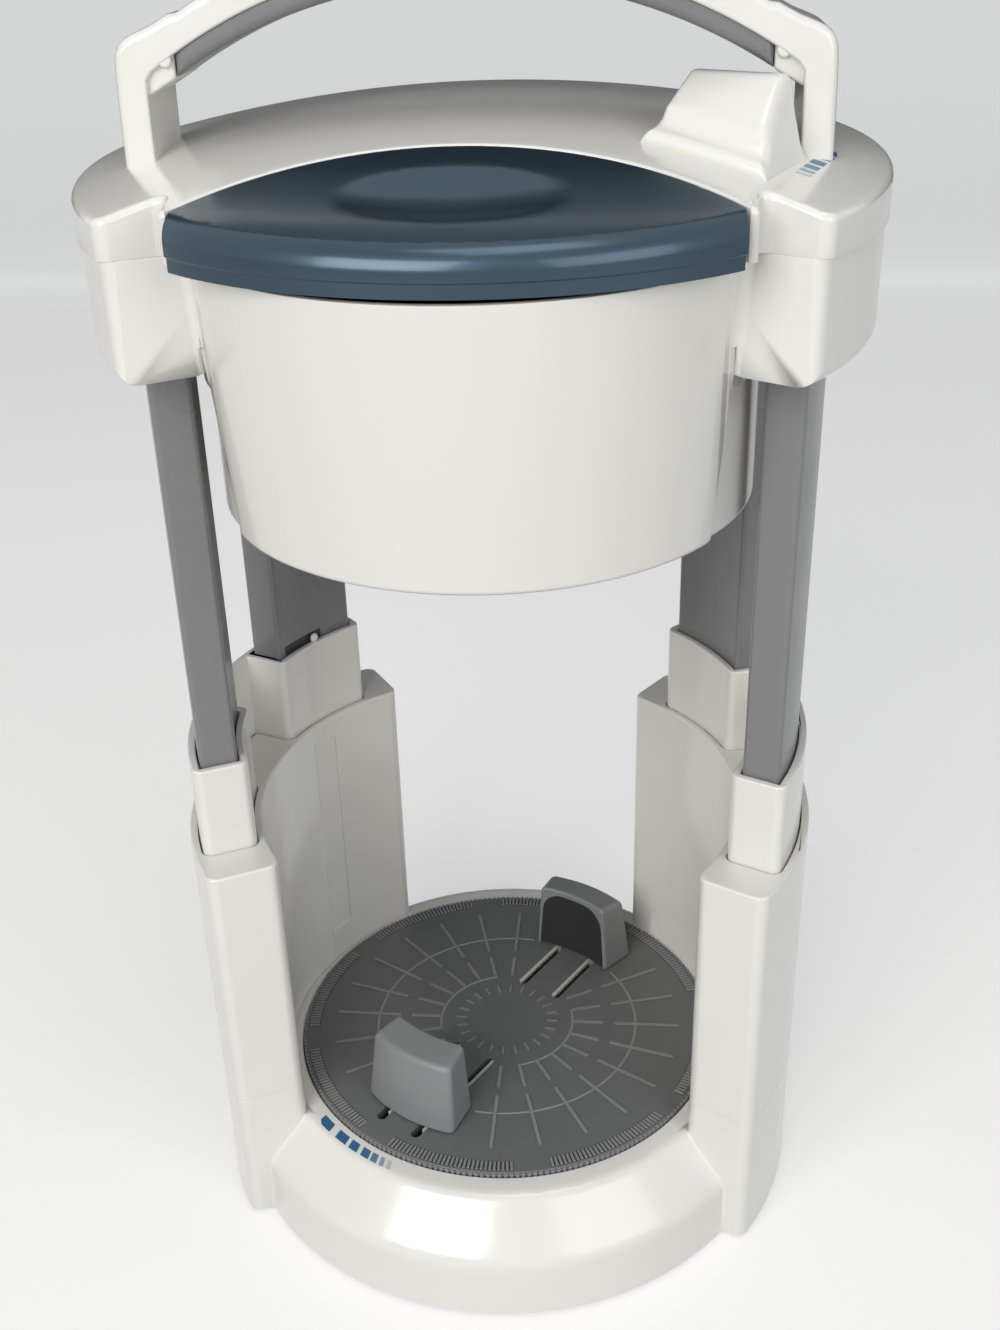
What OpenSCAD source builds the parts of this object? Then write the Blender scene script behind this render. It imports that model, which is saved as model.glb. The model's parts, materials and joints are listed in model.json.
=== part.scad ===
// Electric jar opener: a jar stands on the turntable, its two jaws hold the glass,
// and the motor-driven lid jaws in the head turn the lid. The head slides down two telescoping columns.
// Frame: X to the right, -Y is the front, +Z up, origin on the turntable's axis at the floor.

/* [Base] */
// Radius of the round apron at the floor
apron_r = 98.6; // [96:0.1:101]
// Height of the crease where the apron's slope meets its upright band
crease_z = 22.5; // [18:0.5:26]
// Height of the turntable's top face above the floor
deck_z = 40; // [39:0.5:46]
// Height of the rubber feet
foot_h = 1; // [0.6:0.1:2]
// Thickness of the moulded walls
wall = 2.5; // [2:0.1:3]
// Gap between two mouldings that slide or turn past each other
slip = 0.4; // [0.3:0.05:0.6]

/* [Turntable] */
// Radius of the turntable
table_r = 75; // [72:0.5:75.5]
// Thickness of the turntable's top disc
table_t = 3.5; // [3:0.1:4]
// Height of the raised ribs on the turntable
rib_h = 0.4; // [0.2:0.05:0.5]
// Direction of the back jar jaw, anticlockwise from the right
jaw_az = 59.5; // [50:0.5:70]
// Distance of a jar jaw's rubber face from the axis at rest
jaw_u = 43.5; // [40:0.5:45]
// Height of a jar jaw above the turntable
jaw_h = 26; // [20:1:32]
// Distance between the two slots of a jaw
slot_gap = 15; // [14:0.5:17]
// Width of a jaw slot
slot_w = 3.4; // [3:0.1:4]

/* [Columns] */
// Inner radius of the column casings
col_ri = 80; // [79.6:0.1:81]
// Outer radius of the column casings
col_ro = 103.5; // [102:0.5:105]
// Height where the base tub ends and the casings begin
part_z = 53; // [48:1:60]
// Height of the casings' top
col_z = 145; // [140:1:148]
// Height of the sleeves' top when raised
sleeve_z = 176; // [172:1:178]
// Length of a sleeve
sleeve_len = 141; // [120:1:142]
// Travel of a sleeve
sleeve_travel = 28; // [20:1:28]
// Travel of the head
head_travel = 150; // [130:1:150]

/* [Head] */
// Height of the underside of the ears
ear_z = 305; // [304:1:308]
// Height where the top cover sits on the head housing
seam_z = 337; // [335:1:339]
// Radius of the head's round outline
head_r = 110.5; // [108:0.5:112]
// Distance of the flat back of the head from the axis
head_back = 103; // [100:0.5:106]
// Height of the underside of the drum
drum_z = 257; // [256:0.5:260]
// Radius of the drum behind the columns' front faces
drum_r = 79.2; // [78.6:0.1:79.2]
// Highest point of the crown
crown_top = 365; // [363:0.5:368]
// Radius of the ball that shapes the crown
crown_r = 434; // [400:1:480]
// Radius of the power pad's front skirt
pad_r = 103; // [101:0.5:104]
// Travel of the power pad
pad_travel = 1.2; // [0.8:0.1:1.4]

/* [Handle] */
// Half of the distance across the outside of the handle
handle_x = 93.5; // [91:0.5:95]
// Width of the handle from front to back
handle_w = 27; // [22:1:30]
// Height of the handle's highest point
handle_top = 411; // [409:1:416]
// Thickness of the handle's posts
post_t = 9; // [8:0.5:10]

/* [Gearing] */
// Pitch radius of the two fixed pinions that drive the jaw racks
rack_r = 12; // [11:0.5:13]
// Teeth of each fixed pinion
rack_teeth = 16; // [14:1:18]
// Play between meshing teeth
play = 0.2; // [0.15:0.05:0.3]

/* [Hidden] */
$fn = 96;
eps = 0.01;
far = 300;
fit = 0.05;          // running clearance of a pin or bore
seat = 0.1;          // gap between parts that rest on each other
foot_r = 8;
col_y = -4;          // the columns' arcs are centred a little in front of the turntable's axis
front_p = [66.3, -52.1];   // a point on the casing's slanted front face
front_a = -27.8;           // direction of that face
rear_a = 56;               // end of a casing, seen from the arcs' centre
front_tube = [-26.3, -1.2];  // ends of the sleeve's front tube
rear_tube = [20, 47.4];      // ends of the sleeve's rear tube
ear_p = [71.9, -56.8];     // a point on the ear's slanted front face
ear_a = -30.2;             // direction of that face
col_round = 4;       // radius on a casing's upright edges
sleeve_round = 3.2;
leg_round = 1.6;
ear_round = 4;
ear_curl = 9;        // radius under the ears' outer edge
sleeve_ri = col_ri + wall + slip;
sleeve_ro = col_ro - wall - slip;
leg_ri = sleeve_ri + wall + slip;
leg_ro = sleeve_ro - wall - slip;
leg_mid = (leg_ri + leg_ro) / 2;
leg_inset = wall + slip;           // a leg's end stands this far inside its tube's end
leg_bottom = sleeve_z - 20;
leg_top = ear_z + 25;
leg_wall = 2;
sleeve_bottom = sleeve_z - sleeve_len;
tub_z = foot_h + 0.2;
plate_t = 2.5;
shelf_z = deck_z - 19.5;     // top of the tub's inner deck
shelf_t = 2.5;
washer_z = shelf_z;
washer_t = 2.3;
under_z = washer_z + washer_t + seat;   // underside of the turntable's lower plate
under_t = 2.5;
rack_z = under_z + under_t + 0.6;       // underside of the racks
rack_t = 3.8;
carriage_z = rack_z + rack_t + seat;
carriage_t = deck_z - table_t - 0.3 - carriage_z;
rod_r = 1.4;
rod_z = carriage_z + carriage_t / 2;
rod_u = [18, 68];
slot_u = [20, 66];
carriage_u = [44, 58];
hub_r = 20;
mod_r = 2 * rack_r / rack_teeth;        // module of the racks and their pinions
jaw_face = 3.4;                         // thickness of a rubber pad
bead = 5;                               // radius on a jaw's upper corners
tilt = 10.3;                            // the drum's front leans forward by this angle
bulge_r = 77.2;
bulge_y = -10;                          // centre of the drum's front at its lower rim
side_gap = 1.2;                         // gap between the drum's front and the casings' front faces
lid_az = -43;
lid_plate_z = drum_z + 5;               // underside of the lid carrier
lid_plate_t = 4;
lid_r = 62;
recess_r = 64;
lid_rack_z = lid_plate_z + lid_plate_t + 0.4;
lid_hub_z = lid_rack_z + rack_t + 0.4;  // underside of the carrier's upper web
lid_hub_t = 3.4;
ring_z = lid_hub_z + lid_hub_t;         // the carrier's gear stands on the web
ring_t = 6;
frame_z = ring_z + ring_t + 11;         // underside of the gear plate
frame_t = 3;
frame_r = 74;
post_az = [45, 135, 225, 315];
gear_a = [1.5, 48];                     // module and teeth: carrier gear
gear_b = [1.5, 12];
gear_c = [1.25, 40];
gear_d = [1.25, 12];
gear_e = [1, 36];
gear_f = [1, 12];
pressure = 25;                          // pressure angle of every tooth
az_b = 180;                             // directions of the gear centres
az_d = 60;
az_f = 20;
second_p = polar(centre_gap(gear_a, gear_b), az_b);
first_p = second_p + polar(centre_gap(gear_c, gear_d), az_d);
motor_p = first_p + polar(centre_gap(gear_e, gear_f), az_f);
shaft_r = 2.5;
motor_r = 18;
motor_h = 48;
crown_y = 20;
lens_y = -147.6;       // centre of the arc behind the power pad
lens_r = 104.6;
pad_gap = 0.6;
cover_lip = 0.9;       // the cover stands proud of the housing by this much
pad_z = seam_z;
pad_step = 3.6;        // the lower band of the power pad's skirt is set back
tip_x = 69.5;          // the power pad's blunt tips
handle_y = -12;        // middle of the handle, from front to back
arch_r = 148;
grip_x = 77;
grip_t = 8;
lever_az = 68.5;       // direction in which the release lever is pushed
lever_face = 59.8;     // direction to which its front face is square
lever_p = [62, -34];
lever_travel = 5;
lever_h = 374.4;         // height of the lever's ridge
lever_bead = 4;        // thickness of the bead round the lever's foot

function polar(r, a) = [r * cos(a), r * sin(a)];
function pitch_r(g) = g[0] * g[1] / 2;
function centre_gap(a, b) = pitch_r(a) + pitch_r(b);
// Angle that a mating gear needs so that its gap meets the first gear's tooth along direction az
function mate(rot, a, b, az) = az + 180 + 180 / b[1] + (az - rot) * a[1] / b[1];

// ---- plan outlines -------------------------------------------------------------------------------

// Where a slanted line through p crosses the middle plane
function front_y(p, a) = p[1] - tan(a) * p[0];

// Everything behind a slanted line through p, moved back by inset
module behind(p, a, inset = 0) translate(p) rotate(a) translate([-far, inset]) square([2 * far, 2 * far]);

// What rounds the corner between a circle of radius ring about c and a line through p along a. The shape lies
// on the line's left and inside the circle if side is 1, outside it if side is -1; end picks the crossing.
module corner_cut(c, ring, p, a, end, side, r, inset) {
    n = [-sin(a), cos(a)];
    d = [cos(a), sin(a)];
    m = n * (p - c);
    q = c + (m + r) * n + end * sqrt(pow(ring - side * r, 2) - pow(m + r, 2)) * d;
    corner = c + m * n + end * sqrt(ring * ring - m * m) * d;
    if (r > inset) difference() {
        polygon([for (v = [[0, 0], -r * n, corner - q, (ring / norm(q - c) - 1) * (q - c)]) q + 1.7 * v]);
        translate(q) circle(r = 1.002 * (r - inset), $fn = 48);   // crosses both, so that neither is only touched
    }
}

// The right-hand column's outline, drawn in from every side by inset
module column_2d(inset = 0) {
    c = [0, col_y];
    difference() {
        intersection() {
            translate(c) difference() {
                circle(r = col_ro - inset);
                circle(r = col_ri + inset);
            }
            behind(front_p, front_a, inset);
            translate(c) rotate(rear_a) translate([-far, -far - inset]) square([2 * far, far]);
        }
        corner_cut(c, col_ro, front_p, front_a, 1, 1, col_round, inset);
        corner_cut(c, col_ri, front_p, front_a, 1, -1, col_round, inset);
        corner_cut(c, col_ro, c, rear_a + 180, -1, 1, col_round, inset);
        corner_cut(c, col_ri, c, rear_a + 180, -1, -1, col_round, inset);
    }
}

// A piece of a ring about the columns' centre, from one angle to another, drawn in by inset. Its corners at
// the start and at the end are rounded by r; outer says which ends have their outer corner rounded too.
module sector_2d(ri, ro, span, inset = 0, r = 0, outer = [1, 1]) {
    c = [0, col_y];
    difference() {
        translate(c) intersection() {
            difference() {
                circle(r = ro - inset);
                circle(r = ri + inset);
            }
            rotate(span[0]) translate([0, inset]) square(far);
            rotate(span[1]) translate([0, -far - inset]) square(far);
        }
        if (r > 0) {
            corner_cut(c, ri, c, span[0], 1, -1, r, inset);
            corner_cut(c, ri, c, span[1] + 180, -1, -1, r, inset);
            if (outer[0] > 0) corner_cut(c, ro, c, span[0], 1, 1, r, inset);
            if (outer[1] > 0) corner_cut(c, ro, c, span[1] + 180, -1, 1, r, inset);
        }
    }
}

// The sleeve's C-shaped outline: two tubes joined by the outer web
module sleeve_2d(inset = 0) {
    sector_2d(sleeve_ri, sleeve_ro, front_tube, inset, sleeve_round, [1, 0]);
    sector_2d(sleeve_ri, sleeve_ro, rear_tube, inset, sleeve_round, [0, 1]);
    sector_2d(sleeve_ro - wall, sleeve_ro, [front_tube[1] - 4, rear_tube[0] + 4], inset);
}

function leg_span(tube) = [tube[0] + leg_end, tube[1] - leg_end];
leg_end = leg_inset * 180 / PI / leg_mid;

// The head's outline behind the ears' front faces, with sharp corners. Between the ears it can reach
// forward to y = -reach.
module head_2d(r, inset = 0, reach = 0) {
    line = front_y(ear_p, ear_a) + inset / cos(ear_a);
    back = head_back - inset;
    wide = line + far * tan(ear_a);
    x = ear_p[0] + 0.6 - inset;
    y = line + x * tan(ear_a);
    tongue = reach > 0 ? [[x, y], [x, inset - reach], [-x, inset - reach], [-x, y]] : [[0, line]];
    intersection() {
        circle(r = r - inset);
        polygon(concat([[-far, wide], [-far, back], [far, back], [far, wide]], tongue));
    }
}

// What rounds that outline's corners
module head_corners_2d(r, inset = 0) for (s = [0, 1]) mirror([s, 0]) {
    corner_cut([0, 0], r, ear_p, ear_a, 1, 1, ear_round, inset);
    corner_cut([0, 0], r, [0, head_back], 180, -1, 1, ear_round, inset);
}

// The power pad's outline
module lens_2d(inset = 0) {
    intersection() {
        circle(r = pad_r - inset);
        translate([0, lens_y]) circle(r = lens_r - inset);
        translate([-tip_x + inset, -far]) square([2 * (tip_x - inset), far]);
    }
}

// The top cover's outline, which reaches forward to the pad between the ears
module cover_2d(inset = 0) head_2d(head_r + cover_lip, inset, tip_x);

// ---- gears ---------------------------------------------------------------------------------------

function inv_deg(q) = q <= 1 ? 0 : sqrt(q * q - 1) * 180 / PI - acos(1 / q);
function tooth_half(g, r) = 90 / g[1] - play / 4 / pitch_r(g) * 180 / PI
    + inv_deg(1 / cos(pressure)) - inv_deg(r / (pitch_r(g) * cos(pressure)));
function flank(g) =
    let (rp = pitch_r(g), rb = rp * cos(pressure), root = rp - 1.2 * g[0], low = max(rb, root))
    concat(low > root + eps ? [[root, tooth_half(g, low)]] : [],
        [for (k = [0:2]) let (r = low + (rp + 0.9 * g[0] - low) * k / 2) [r, tooth_half(g, r)]]);
function reversed(v) = [for (k = [len(v) - 1:-1:0]) v[k]];
function gear_points(g) = [for (t = [0:g[1] - 1]) each concat(
    [for (q = flank(g)) polar(q[0], 360 * t / g[1] - q[1])],
    [for (q = reversed(flank(g))) polar(q[0], 360 * t / g[1] + q[1])])];
module gear(g, t) linear_extrude(t) polygon(gear_points(g));

// A rack whose pitch line is y = -rack_r, with teeth that point at the X axis and a gap at x = 0
rack_pitch = PI * mod_r;
function rack_tooth(x) = let (h = rack_pitch / 4 - play / 4, k = tan(pressure) * mod_r) [
    [x - h - 1.15 * k, rack_r + 1.15 * mod_r], [x - h + 0.9 * k, rack_r - 0.9 * mod_r],
    [x + h - 0.9 * k, rack_r - 0.9 * mod_r], [x + h + 1.15 * k, rack_r + 1.15 * mod_r]];
rack_back = rack_r + 5.5;
rack_start = -19;
module rack(x0, x1, t, first, last) {
    linear_extrude(t) mirror([0, 1]) polygon(concat([[x0, rack_back], [x0, rack_r + 1.15 * mod_r]],
        [for (k = [first:last]) each rack_tooth((k + 0.5) * rack_pitch)],
        [[x1, rack_r + 1.15 * mod_r], [x1, rack_back]]));
}

// ---- base ----------------------------------------------------------------------------------------

// The apron's outer profile: an upright band, a soft crease, a slope and a flat ring round the turntable
module apron_profile(inset) {
    top = deck_z - 1 - inset;
    out = apron_r - inset;
    ring_r = table_r + 7.5 - inset / 2;
    z = crease_z - inset / 2;
    polygon([[0, tub_z], [out, tub_z], [out - 0.5, z - 2.5], [out - 0.9, z - 0.8], [out - 1.6, z + 0.8],
        [out - 2.8, z + 2.6], [ring_r + 2.6, top - 1.9], [ring_r + 1.3, top - 0.8], [ring_r, top - 0.2],
        [ring_r - 1.5, top], [0, top]]);
}

module column_shell(z0, z1) {
    translate([0, 0, z0]) linear_extrude(z1 - z0) difference() {
        column_2d();
        column_2d(wall);
    }
}

boss_p = [polar(50, 0), polar(50, 90), polar(50, 180), polar(50, 270)];

module base_tub() color([0.9, 0.9, 0.87]) {
    well_r = table_r + 1;
    low_z = tub_z - eps;
    low_h = shelf_z - shelf_t - low_z;
    difference() {
        union() {
            difference() {
                rotate_extrude() apron_profile(0);
                rotate_extrude() difference() {
                    apron_profile(wall);
                    translate([0, shelf_z - shelf_t]) square([well_r + wall, far]);
                }
                translate([0, 0, shelf_z]) cylinder(r = well_r, h = far);
                translate([0, 0, low_z]) cylinder(r = well_r + wall, h = low_h);
                both() translate([0, 0, low_z]) linear_extrude(part_z) column_2d(wall);
            }
            both() difference() {
                column_shell(tub_z, part_z);
                translate([0, 0, low_z]) cylinder(r = well_r + wall - 0.5, h = low_h);
            }
            translate([0, 0, shelf_z - eps])
                cylinder(r = hub_r - fit, h = under_z + under_t - shelf_z + seat);
            for (p = boss_p) translate([p[0], p[1], tub_z + plate_t])
                cylinder(r = 4.5, h = shelf_z - shelf_t - tub_z - plate_t + eps);
        }
        translate([0, 0, shelf_z]) cylinder(r = 1.3, h = far);
        translate([0, 0, low_z]) cylinder(r = apron_r - wall, h = plate_t);
        for (p = boss_p) translate([p[0], p[1], 0]) cylinder(r = 1.3, h = shelf_z - shelf_t);
    }
}

module both() {
    children();
    mirror([1, 0, 0]) children();
}

module base_plate() color([0.82, 0.82, 0.8]) difference() {
    union() {
        translate([0, 0, tub_z]) cylinder(r = apron_r - wall - slip, h = plate_t - seat);
        both() translate([0, 0, tub_z]) linear_extrude(plate_t - seat) column_2d(wall + slip);
    }
    for (p = boss_p) translate([p[0], p[1], 0]) cylinder(r = 1.9, h = 10);
    for (a = [30:60:330]) rotate(a) for (x = [58:8:74])
        translate([x, 0, 0]) rotate(90) translate([-7, -1.2, 0]) cube([14, 2.4, 10]);
}

foot_p = [for (a = [35, 145, 215, 325]) polar(86, a)];
module rubber_feet() color([0.12, 0.12, 0.12])
    for (p = foot_p) translate([p[0], p[1], 0]) cylinder(r = foot_r, h = tub_z);

module screw(l, head_r, r, head_h) {
    cylinder(r = head_r, h = head_h);
    cylinder(r = r, h = l);
}

module base_screws() color([0.7, 0.7, 0.72]) {
    for (p = boss_p) translate([p[0], p[1], tub_z - 0.9]) screw(14, 3, 1.25, 0.9);
    translate([0, 0, rack_z + rack_t + 0.9]) mirror([0, 0, 1]) screw(10, 3, 1.25, 0.9);
}

// ---- column casings and sleeves --------------------------------------------------------------------

module casing() color([0.92, 0.92, 0.89]) {
    column_shell(part_z, col_z);
    translate([0, 0, col_z - wall]) linear_extrude(wall) difference() {
        column_2d(wall - 0.2);
        sleeve_2d(-slip);
    }
}
module right_casing() casing();
module left_casing() mirror([1, 0, 0]) casing();

module sleeve() color([0.92, 0.92, 0.89])
    translate([0, 0, sleeve_bottom]) linear_extrude(sleeve_len) difference() {
        sleeve_2d();
        sector_2d(sleeve_ri, sleeve_ro, front_tube, wall);
        sector_2d(sleeve_ri, sleeve_ro, rear_tube, wall);
    }
module right_sleeve() sleeve();
module left_sleeve() mirror([1, 0, 0]) sleeve();

module leg(tube, rod = false) color([0.48, 0.48, 0.49]) {
    span = leg_span(tube);
    difference() {
        translate([0, 0, leg_bottom]) linear_extrude(leg_top - leg_bottom)
            sector_2d(leg_ri, leg_ro, span, 0, leg_round);
        translate([0, 0, leg_bottom - eps]) linear_extrude(leg_top - leg_bottom - 3)
            sector_2d(leg_ri, leg_ro, span, leg_wall);
        translate(leg_screw_p(tube)) cylinder(r = 1.3, h = 30, center = true);
        if (rod) translate([latch_p[0], latch_p[1], leg_top - 10]) cylinder(r = latch_r + fit, h = 20);
    }
}
function leg_screw_p(tube) = let (p = polar(leg_mid, (tube[0] + tube[1]) / 2)) [p[0], p[1] + col_y, leg_top];
module right_front_leg() leg(front_tube, rod = true);
module right_rear_leg() leg(rear_tube);
module left_front_leg() mirror([1, 0, 0]) leg(front_tube);
module left_rear_leg() mirror([1, 0, 0]) leg(rear_tube);

module leg_screws() color([0.7, 0.7, 0.72])
    both() for (tube = [front_tube, rear_tube])
        translate(leg_screw_p(tube) + [0, 0, wall + 0.9 + seat]) mirror([0, 0, 1]) screw(12, 3, 1.25, 0.9);

// ---- turntable -------------------------------------------------------------------------------------

module slot(x0, x1, w, t) {
    translate([x0 + w / 2, -w / 2, 0]) cube([x1 - x0 - w, w, t]);
    for (x = [x0 + w / 2, x1 - w / 2]) translate([x, 0, 0]) cylinder(r = w / 2, h = t, $fn = 24);
}

module four_slots(t) for (a = [0, 180], s = [-1, 1])
    rotate(jaw_az + a) translate([0, s * slot_gap / 2, 0]) slot(slot_u[0], slot_u[1], slot_w, t);

module table_rib(r0, r1, w, a) rotate(a) translate([r0, -w / 2, deck_z - 0.2])
    cube([r1 - r0, w, 0.2 + rib_h]);

module turntable() color([0.35, 0.36, 0.37]) difference() {
    union() {
        translate([0, 0, deck_z - table_t]) cylinder(r = table_r, h = table_t);
        difference() {
            translate([0, 0, deck_z - 6]) cylinder(r = table_r, h = 6);
            translate([0, 0, deck_z - 7]) cylinder(r = table_r - 2, h = 7);
        }
        for (a = [0:15:345]) {
            table_rib(15, 19, 0.8, a);
            if (abs(sin(a - jaw_az)) * 32 > 14) table_rib(25, 36, 1.2, a);
            if (abs(sin(a - jaw_az)) * 52 > 18) table_rib(40, 64, 1.2, a);
        }
        for (a = [0, 180], s = [-1, 1], u = [rod_u[0], rod_u[1] - 2]) rotate(jaw_az + a)
            translate([u - 1, s * slot_gap / 2 - 2.6, rod_z - 2.4])
                cube([3, 5.2, deck_z - table_t - rod_z + 2.5]);
    }
    translate([0, 0, deck_z - table_t - 0.5]) four_slots(table_t + 2);
    guide_rod_holes();
    for (p = table_screw_p) translate([p[0], p[1], 0]) cylinder(r = 1.3, h = deck_z - 1.5);
}

module guide_rod_holes() for (a = [0, 180], s = [-1, 1])
    rotate(jaw_az + a) translate([rod_u[0], s * slot_gap / 2, rod_z]) rotate([0, 90, 0])
        cylinder(r = rod_r, h = rod_u[1] - rod_u[0]);

module guide_rods() color([0.85, 0.85, 0.87]) for (a = [0, 180], s = [-1, 1])
    rotate(jaw_az + a) translate([rod_u[0], s * slot_gap / 2, rod_z]) rotate([0, 90, 0])
        cylinder(r = rod_r - 0.02, h = rod_u[1] - rod_u[0]);

table_screw_p = [for (a = [60, 120, 240, 300]) polar(66, a + jaw_az)];

module turntable_underplate() color([0.75, 0.75, 0.73]) difference() {
    union() {
        translate([0, 0, under_z]) cylinder(r = table_r - 3, h = under_t);
        for (p = table_screw_p) translate([p[0], p[1], under_z])
            cylinder(r = 3.5, h = deck_z - table_t - seat - under_z);
    }
    translate([0, 0, under_z - 1]) cylinder(r = hub_r, h = 10);
    for (p = table_screw_p) translate([p[0], p[1], 0]) cylinder(r = 1.3, h = far);
}

module turntable_screws() color([0.7, 0.7, 0.72])
    for (p = table_screw_p) translate([p[0], p[1], under_z - 0.9])
        screw(deck_z - 2.5 - under_z, 2.6, 1.25, 0.9);

module table_bearing() color([0.85, 0.8, 0.6]) difference() {
    translate([0, 0, washer_z]) cylinder(r = 40, h = washer_t);
    translate([0, 0, washer_z - 1]) cylinder(r = hub_r + 1, h = 10);
}

module jar_pinion() color([0.78, 0.62, 0.3]) rotate(jaw_az) difference() {
    translate([0, 0, under_z + under_t + seat]) union() {
        gear([mod_r, rack_teeth], rack_z + rack_t - under_z - under_t - seat);
    }
    translate([0, 0, shelf_z]) cylinder(r = 1.7, h = 30);
}

// ---- jaws ------------------------------------------------------------------------------------------

// One gripping block, drawn with the jar to its left along +X; h is its height above z = 0
module jaw_block(h, depth, w0, w1) {
    intersection() {
        rotate([90, 0, 0]) linear_extrude(2 * w0, center = true) polygon([
            [0, 0], [depth + 1.5, 0], [depth, h - bead], [depth - bead, h], [0, h]]);
        translate([-1, 0, 0]) rotate([90, 0, 90]) linear_extrude(depth + 4) jaw_front_2d(h, w0, w1);
    }
}

// The block's front: a tapered shape with round upper corners
module jaw_front_2d(h, w0, w1, inset = 0) {
    hb = h - bead;
    polygon([[-w0 / 2 + inset, inset], [w0 / 2 - inset, inset], [w1 / 2 - inset, hb],
        [w1 / 2 - bead, h - inset], [-w1 / 2 + bead, h - inset], [-w1 / 2 + inset, hb]]);
    for (s = [-1, 1]) translate([s * (w1 / 2 - bead), hb]) circle(r = bead - inset, $fn = 32);
}

jaw_gap = 0.6;                        // the block clears the turntable by this much
module jar_jaw() {
    z0 = deck_z + jaw_gap;
    difference() {
        union() {
            translate([jaw_u + jaw_face + fit, 0, z0]) jaw_block(jaw_h - jaw_gap, 12, 34, 28);
            for (s = [-1, 1])
                translate([carriage_u[0] + 2, s * slot_gap / 2 - slot_w / 2 + 0.3, carriage_z + 1])
                    cube([carriage_u[1] - carriage_u[0] - 4, slot_w - 0.6, z0 - carriage_z]);
            translate([carriage_u[0], -rack_back, carriage_z])
                cube([carriage_u[1] - carriage_u[0], rack_r + rack_back, carriage_t]);
        }
        for (s = [-1, 1]) translate([carriage_u[0] - 1, s * slot_gap / 2, rod_z]) rotate([0, 90, 0])
            cylinder(r = rod_r + fit, h = 30);
    }
}
module jar_pad() translate([jaw_u, 0, deck_z + jaw_gap]) rotate([90, 0, 90])
    linear_extrude(jaw_face) jaw_front_2d(jaw_h - jaw_gap, 34, 28, 1);
module jar_rack() translate([0, 0, rack_z]) rack(rack_start, carriage_u[1] - 2, rack_t, -4, 6);

module back_jar_jaw() color([0.45, 0.46, 0.47]) rotate(jaw_az) jar_jaw();
module back_jar_pad() color([0.1, 0.1, 0.1]) rotate(jaw_az) jar_pad();
module back_jar_rack() color([0.8, 0.8, 0.75]) rotate(jaw_az) jar_rack();
module front_jar_jaw() color([0.45, 0.46, 0.47]) rotate(jaw_az + 180) jar_jaw();
module front_jar_pad() color([0.1, 0.1, 0.1]) rotate(jaw_az + 180) jar_pad();
module front_jar_rack() color([0.8, 0.8, 0.75]) rotate(jaw_az + 180) jar_rack();

// ---- lid mechanism ---------------------------------------------------------------------------------

lid_jaw_h = 15;
module lid_jaw() {
    z0 = lid_plate_z - 0.4;
    translate([jaw_u + jaw_face + fit, 0, z0]) mirror([0, 0, 1]) jaw_block(lid_jaw_h, 12, 30, 26);
    for (s = [-1, 1]) translate([carriage_u[0] + 3, s * slot_gap / 2 - slot_w / 2 + 0.3, z0 - 1])
        cube([carriage_u[1] - carriage_u[0] - 6, slot_w - 0.6, lid_rack_z - z0 + 2]);
    low = seat - rack_r - 1.15 * mod_r;
    translate([carriage_u[0] + 1, low, lid_rack_z])
        cube([carriage_u[1] - carriage_u[0] - 2, (slot_gap + slot_w) / 2 - low, rack_t]);
}
module lid_pad() translate([jaw_u, 0, lid_plate_z - 0.4]) mirror([0, 0, 1]) rotate([90, 0, 90])
    linear_extrude(jaw_face) jaw_front_2d(lid_jaw_h, 30, 26, 1);
module lid_rack() translate([0, 0, lid_rack_z]) rack(rack_start, carriage_u[1] - 2, rack_t, -4, 6);

module right_lid_jaw() color([0.8, 0.8, 0.8]) rotate(lid_az) lid_jaw();
module right_lid_pad() color([0.1, 0.1, 0.1]) rotate(lid_az) lid_pad();
module right_lid_rack() color([0.8, 0.8, 0.75]) rotate(lid_az) lid_rack();
module left_lid_jaw() color([0.8, 0.8, 0.8]) rotate(lid_az + 180) lid_jaw();
module left_lid_pad() color([0.1, 0.1, 0.1]) rotate(lid_az + 180) lid_pad();
module left_lid_rack() color([0.8, 0.8, 0.75]) rotate(lid_az + 180) lid_rack();

axle_r = 9;
module lid_pinion() color([0.78, 0.62, 0.3]) rotate(lid_az) difference() {
    translate([0, 0, lid_rack_z]) gear([mod_r, rack_teeth], rack_t);
    translate([0, 0, lid_rack_z - 1]) cylinder(r = 1.7, h = 10);
    translate([0, 0, lid_rack_z - 1]) cylinder(r = 3.2, h = 2);
}

module lid_carrier() color([0.85, 0.85, 0.83]) difference() {
    union() {
        translate([0, 0, lid_plate_z]) cylinder(r = lid_r, h = lid_plate_t);
        translate([0, 0, lid_hub_z]) cylinder(r = lid_r, h = lid_hub_t);
        difference() {
            translate([0, 0, lid_plate_z]) cylinder(r = lid_r, h = lid_hub_z + 1 - lid_plate_z);
            translate([0, 0, lid_plate_z]) cylinder(r = 60, h = 30);
            rotate(lid_az) translate([0, 0, lid_rack_z - 0.4]) for (s = [0, 180]) rotate(s)
                translate([45, -rack_back - 1, 0]) cube([30, rack_r + rack_back + 2, rack_t + 0.8]);
        }
        translate([0, 0, ring_z - eps]) rotate(az_b) gear(gear_a, ring_t);
    }
    translate([0, 0, lid_hub_z - 1]) cylinder(r = axle_r + fit, h = 30);
    translate([0, 0, ring_z]) cylinder(r = pitch_r(gear_a) - 7, h = 30);
    translate([0, 0, lid_plate_z - 1]) for (a = [0, 180], s = [-1, 1])
        rotate(lid_az + a) translate([0, s * slot_gap / 2, 0])
            slot(slot_u[0], slot_u[1] - 5, slot_w, lid_plate_t + 2);
}

// ---- gear train and motor --------------------------------------------------------------------------

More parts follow.
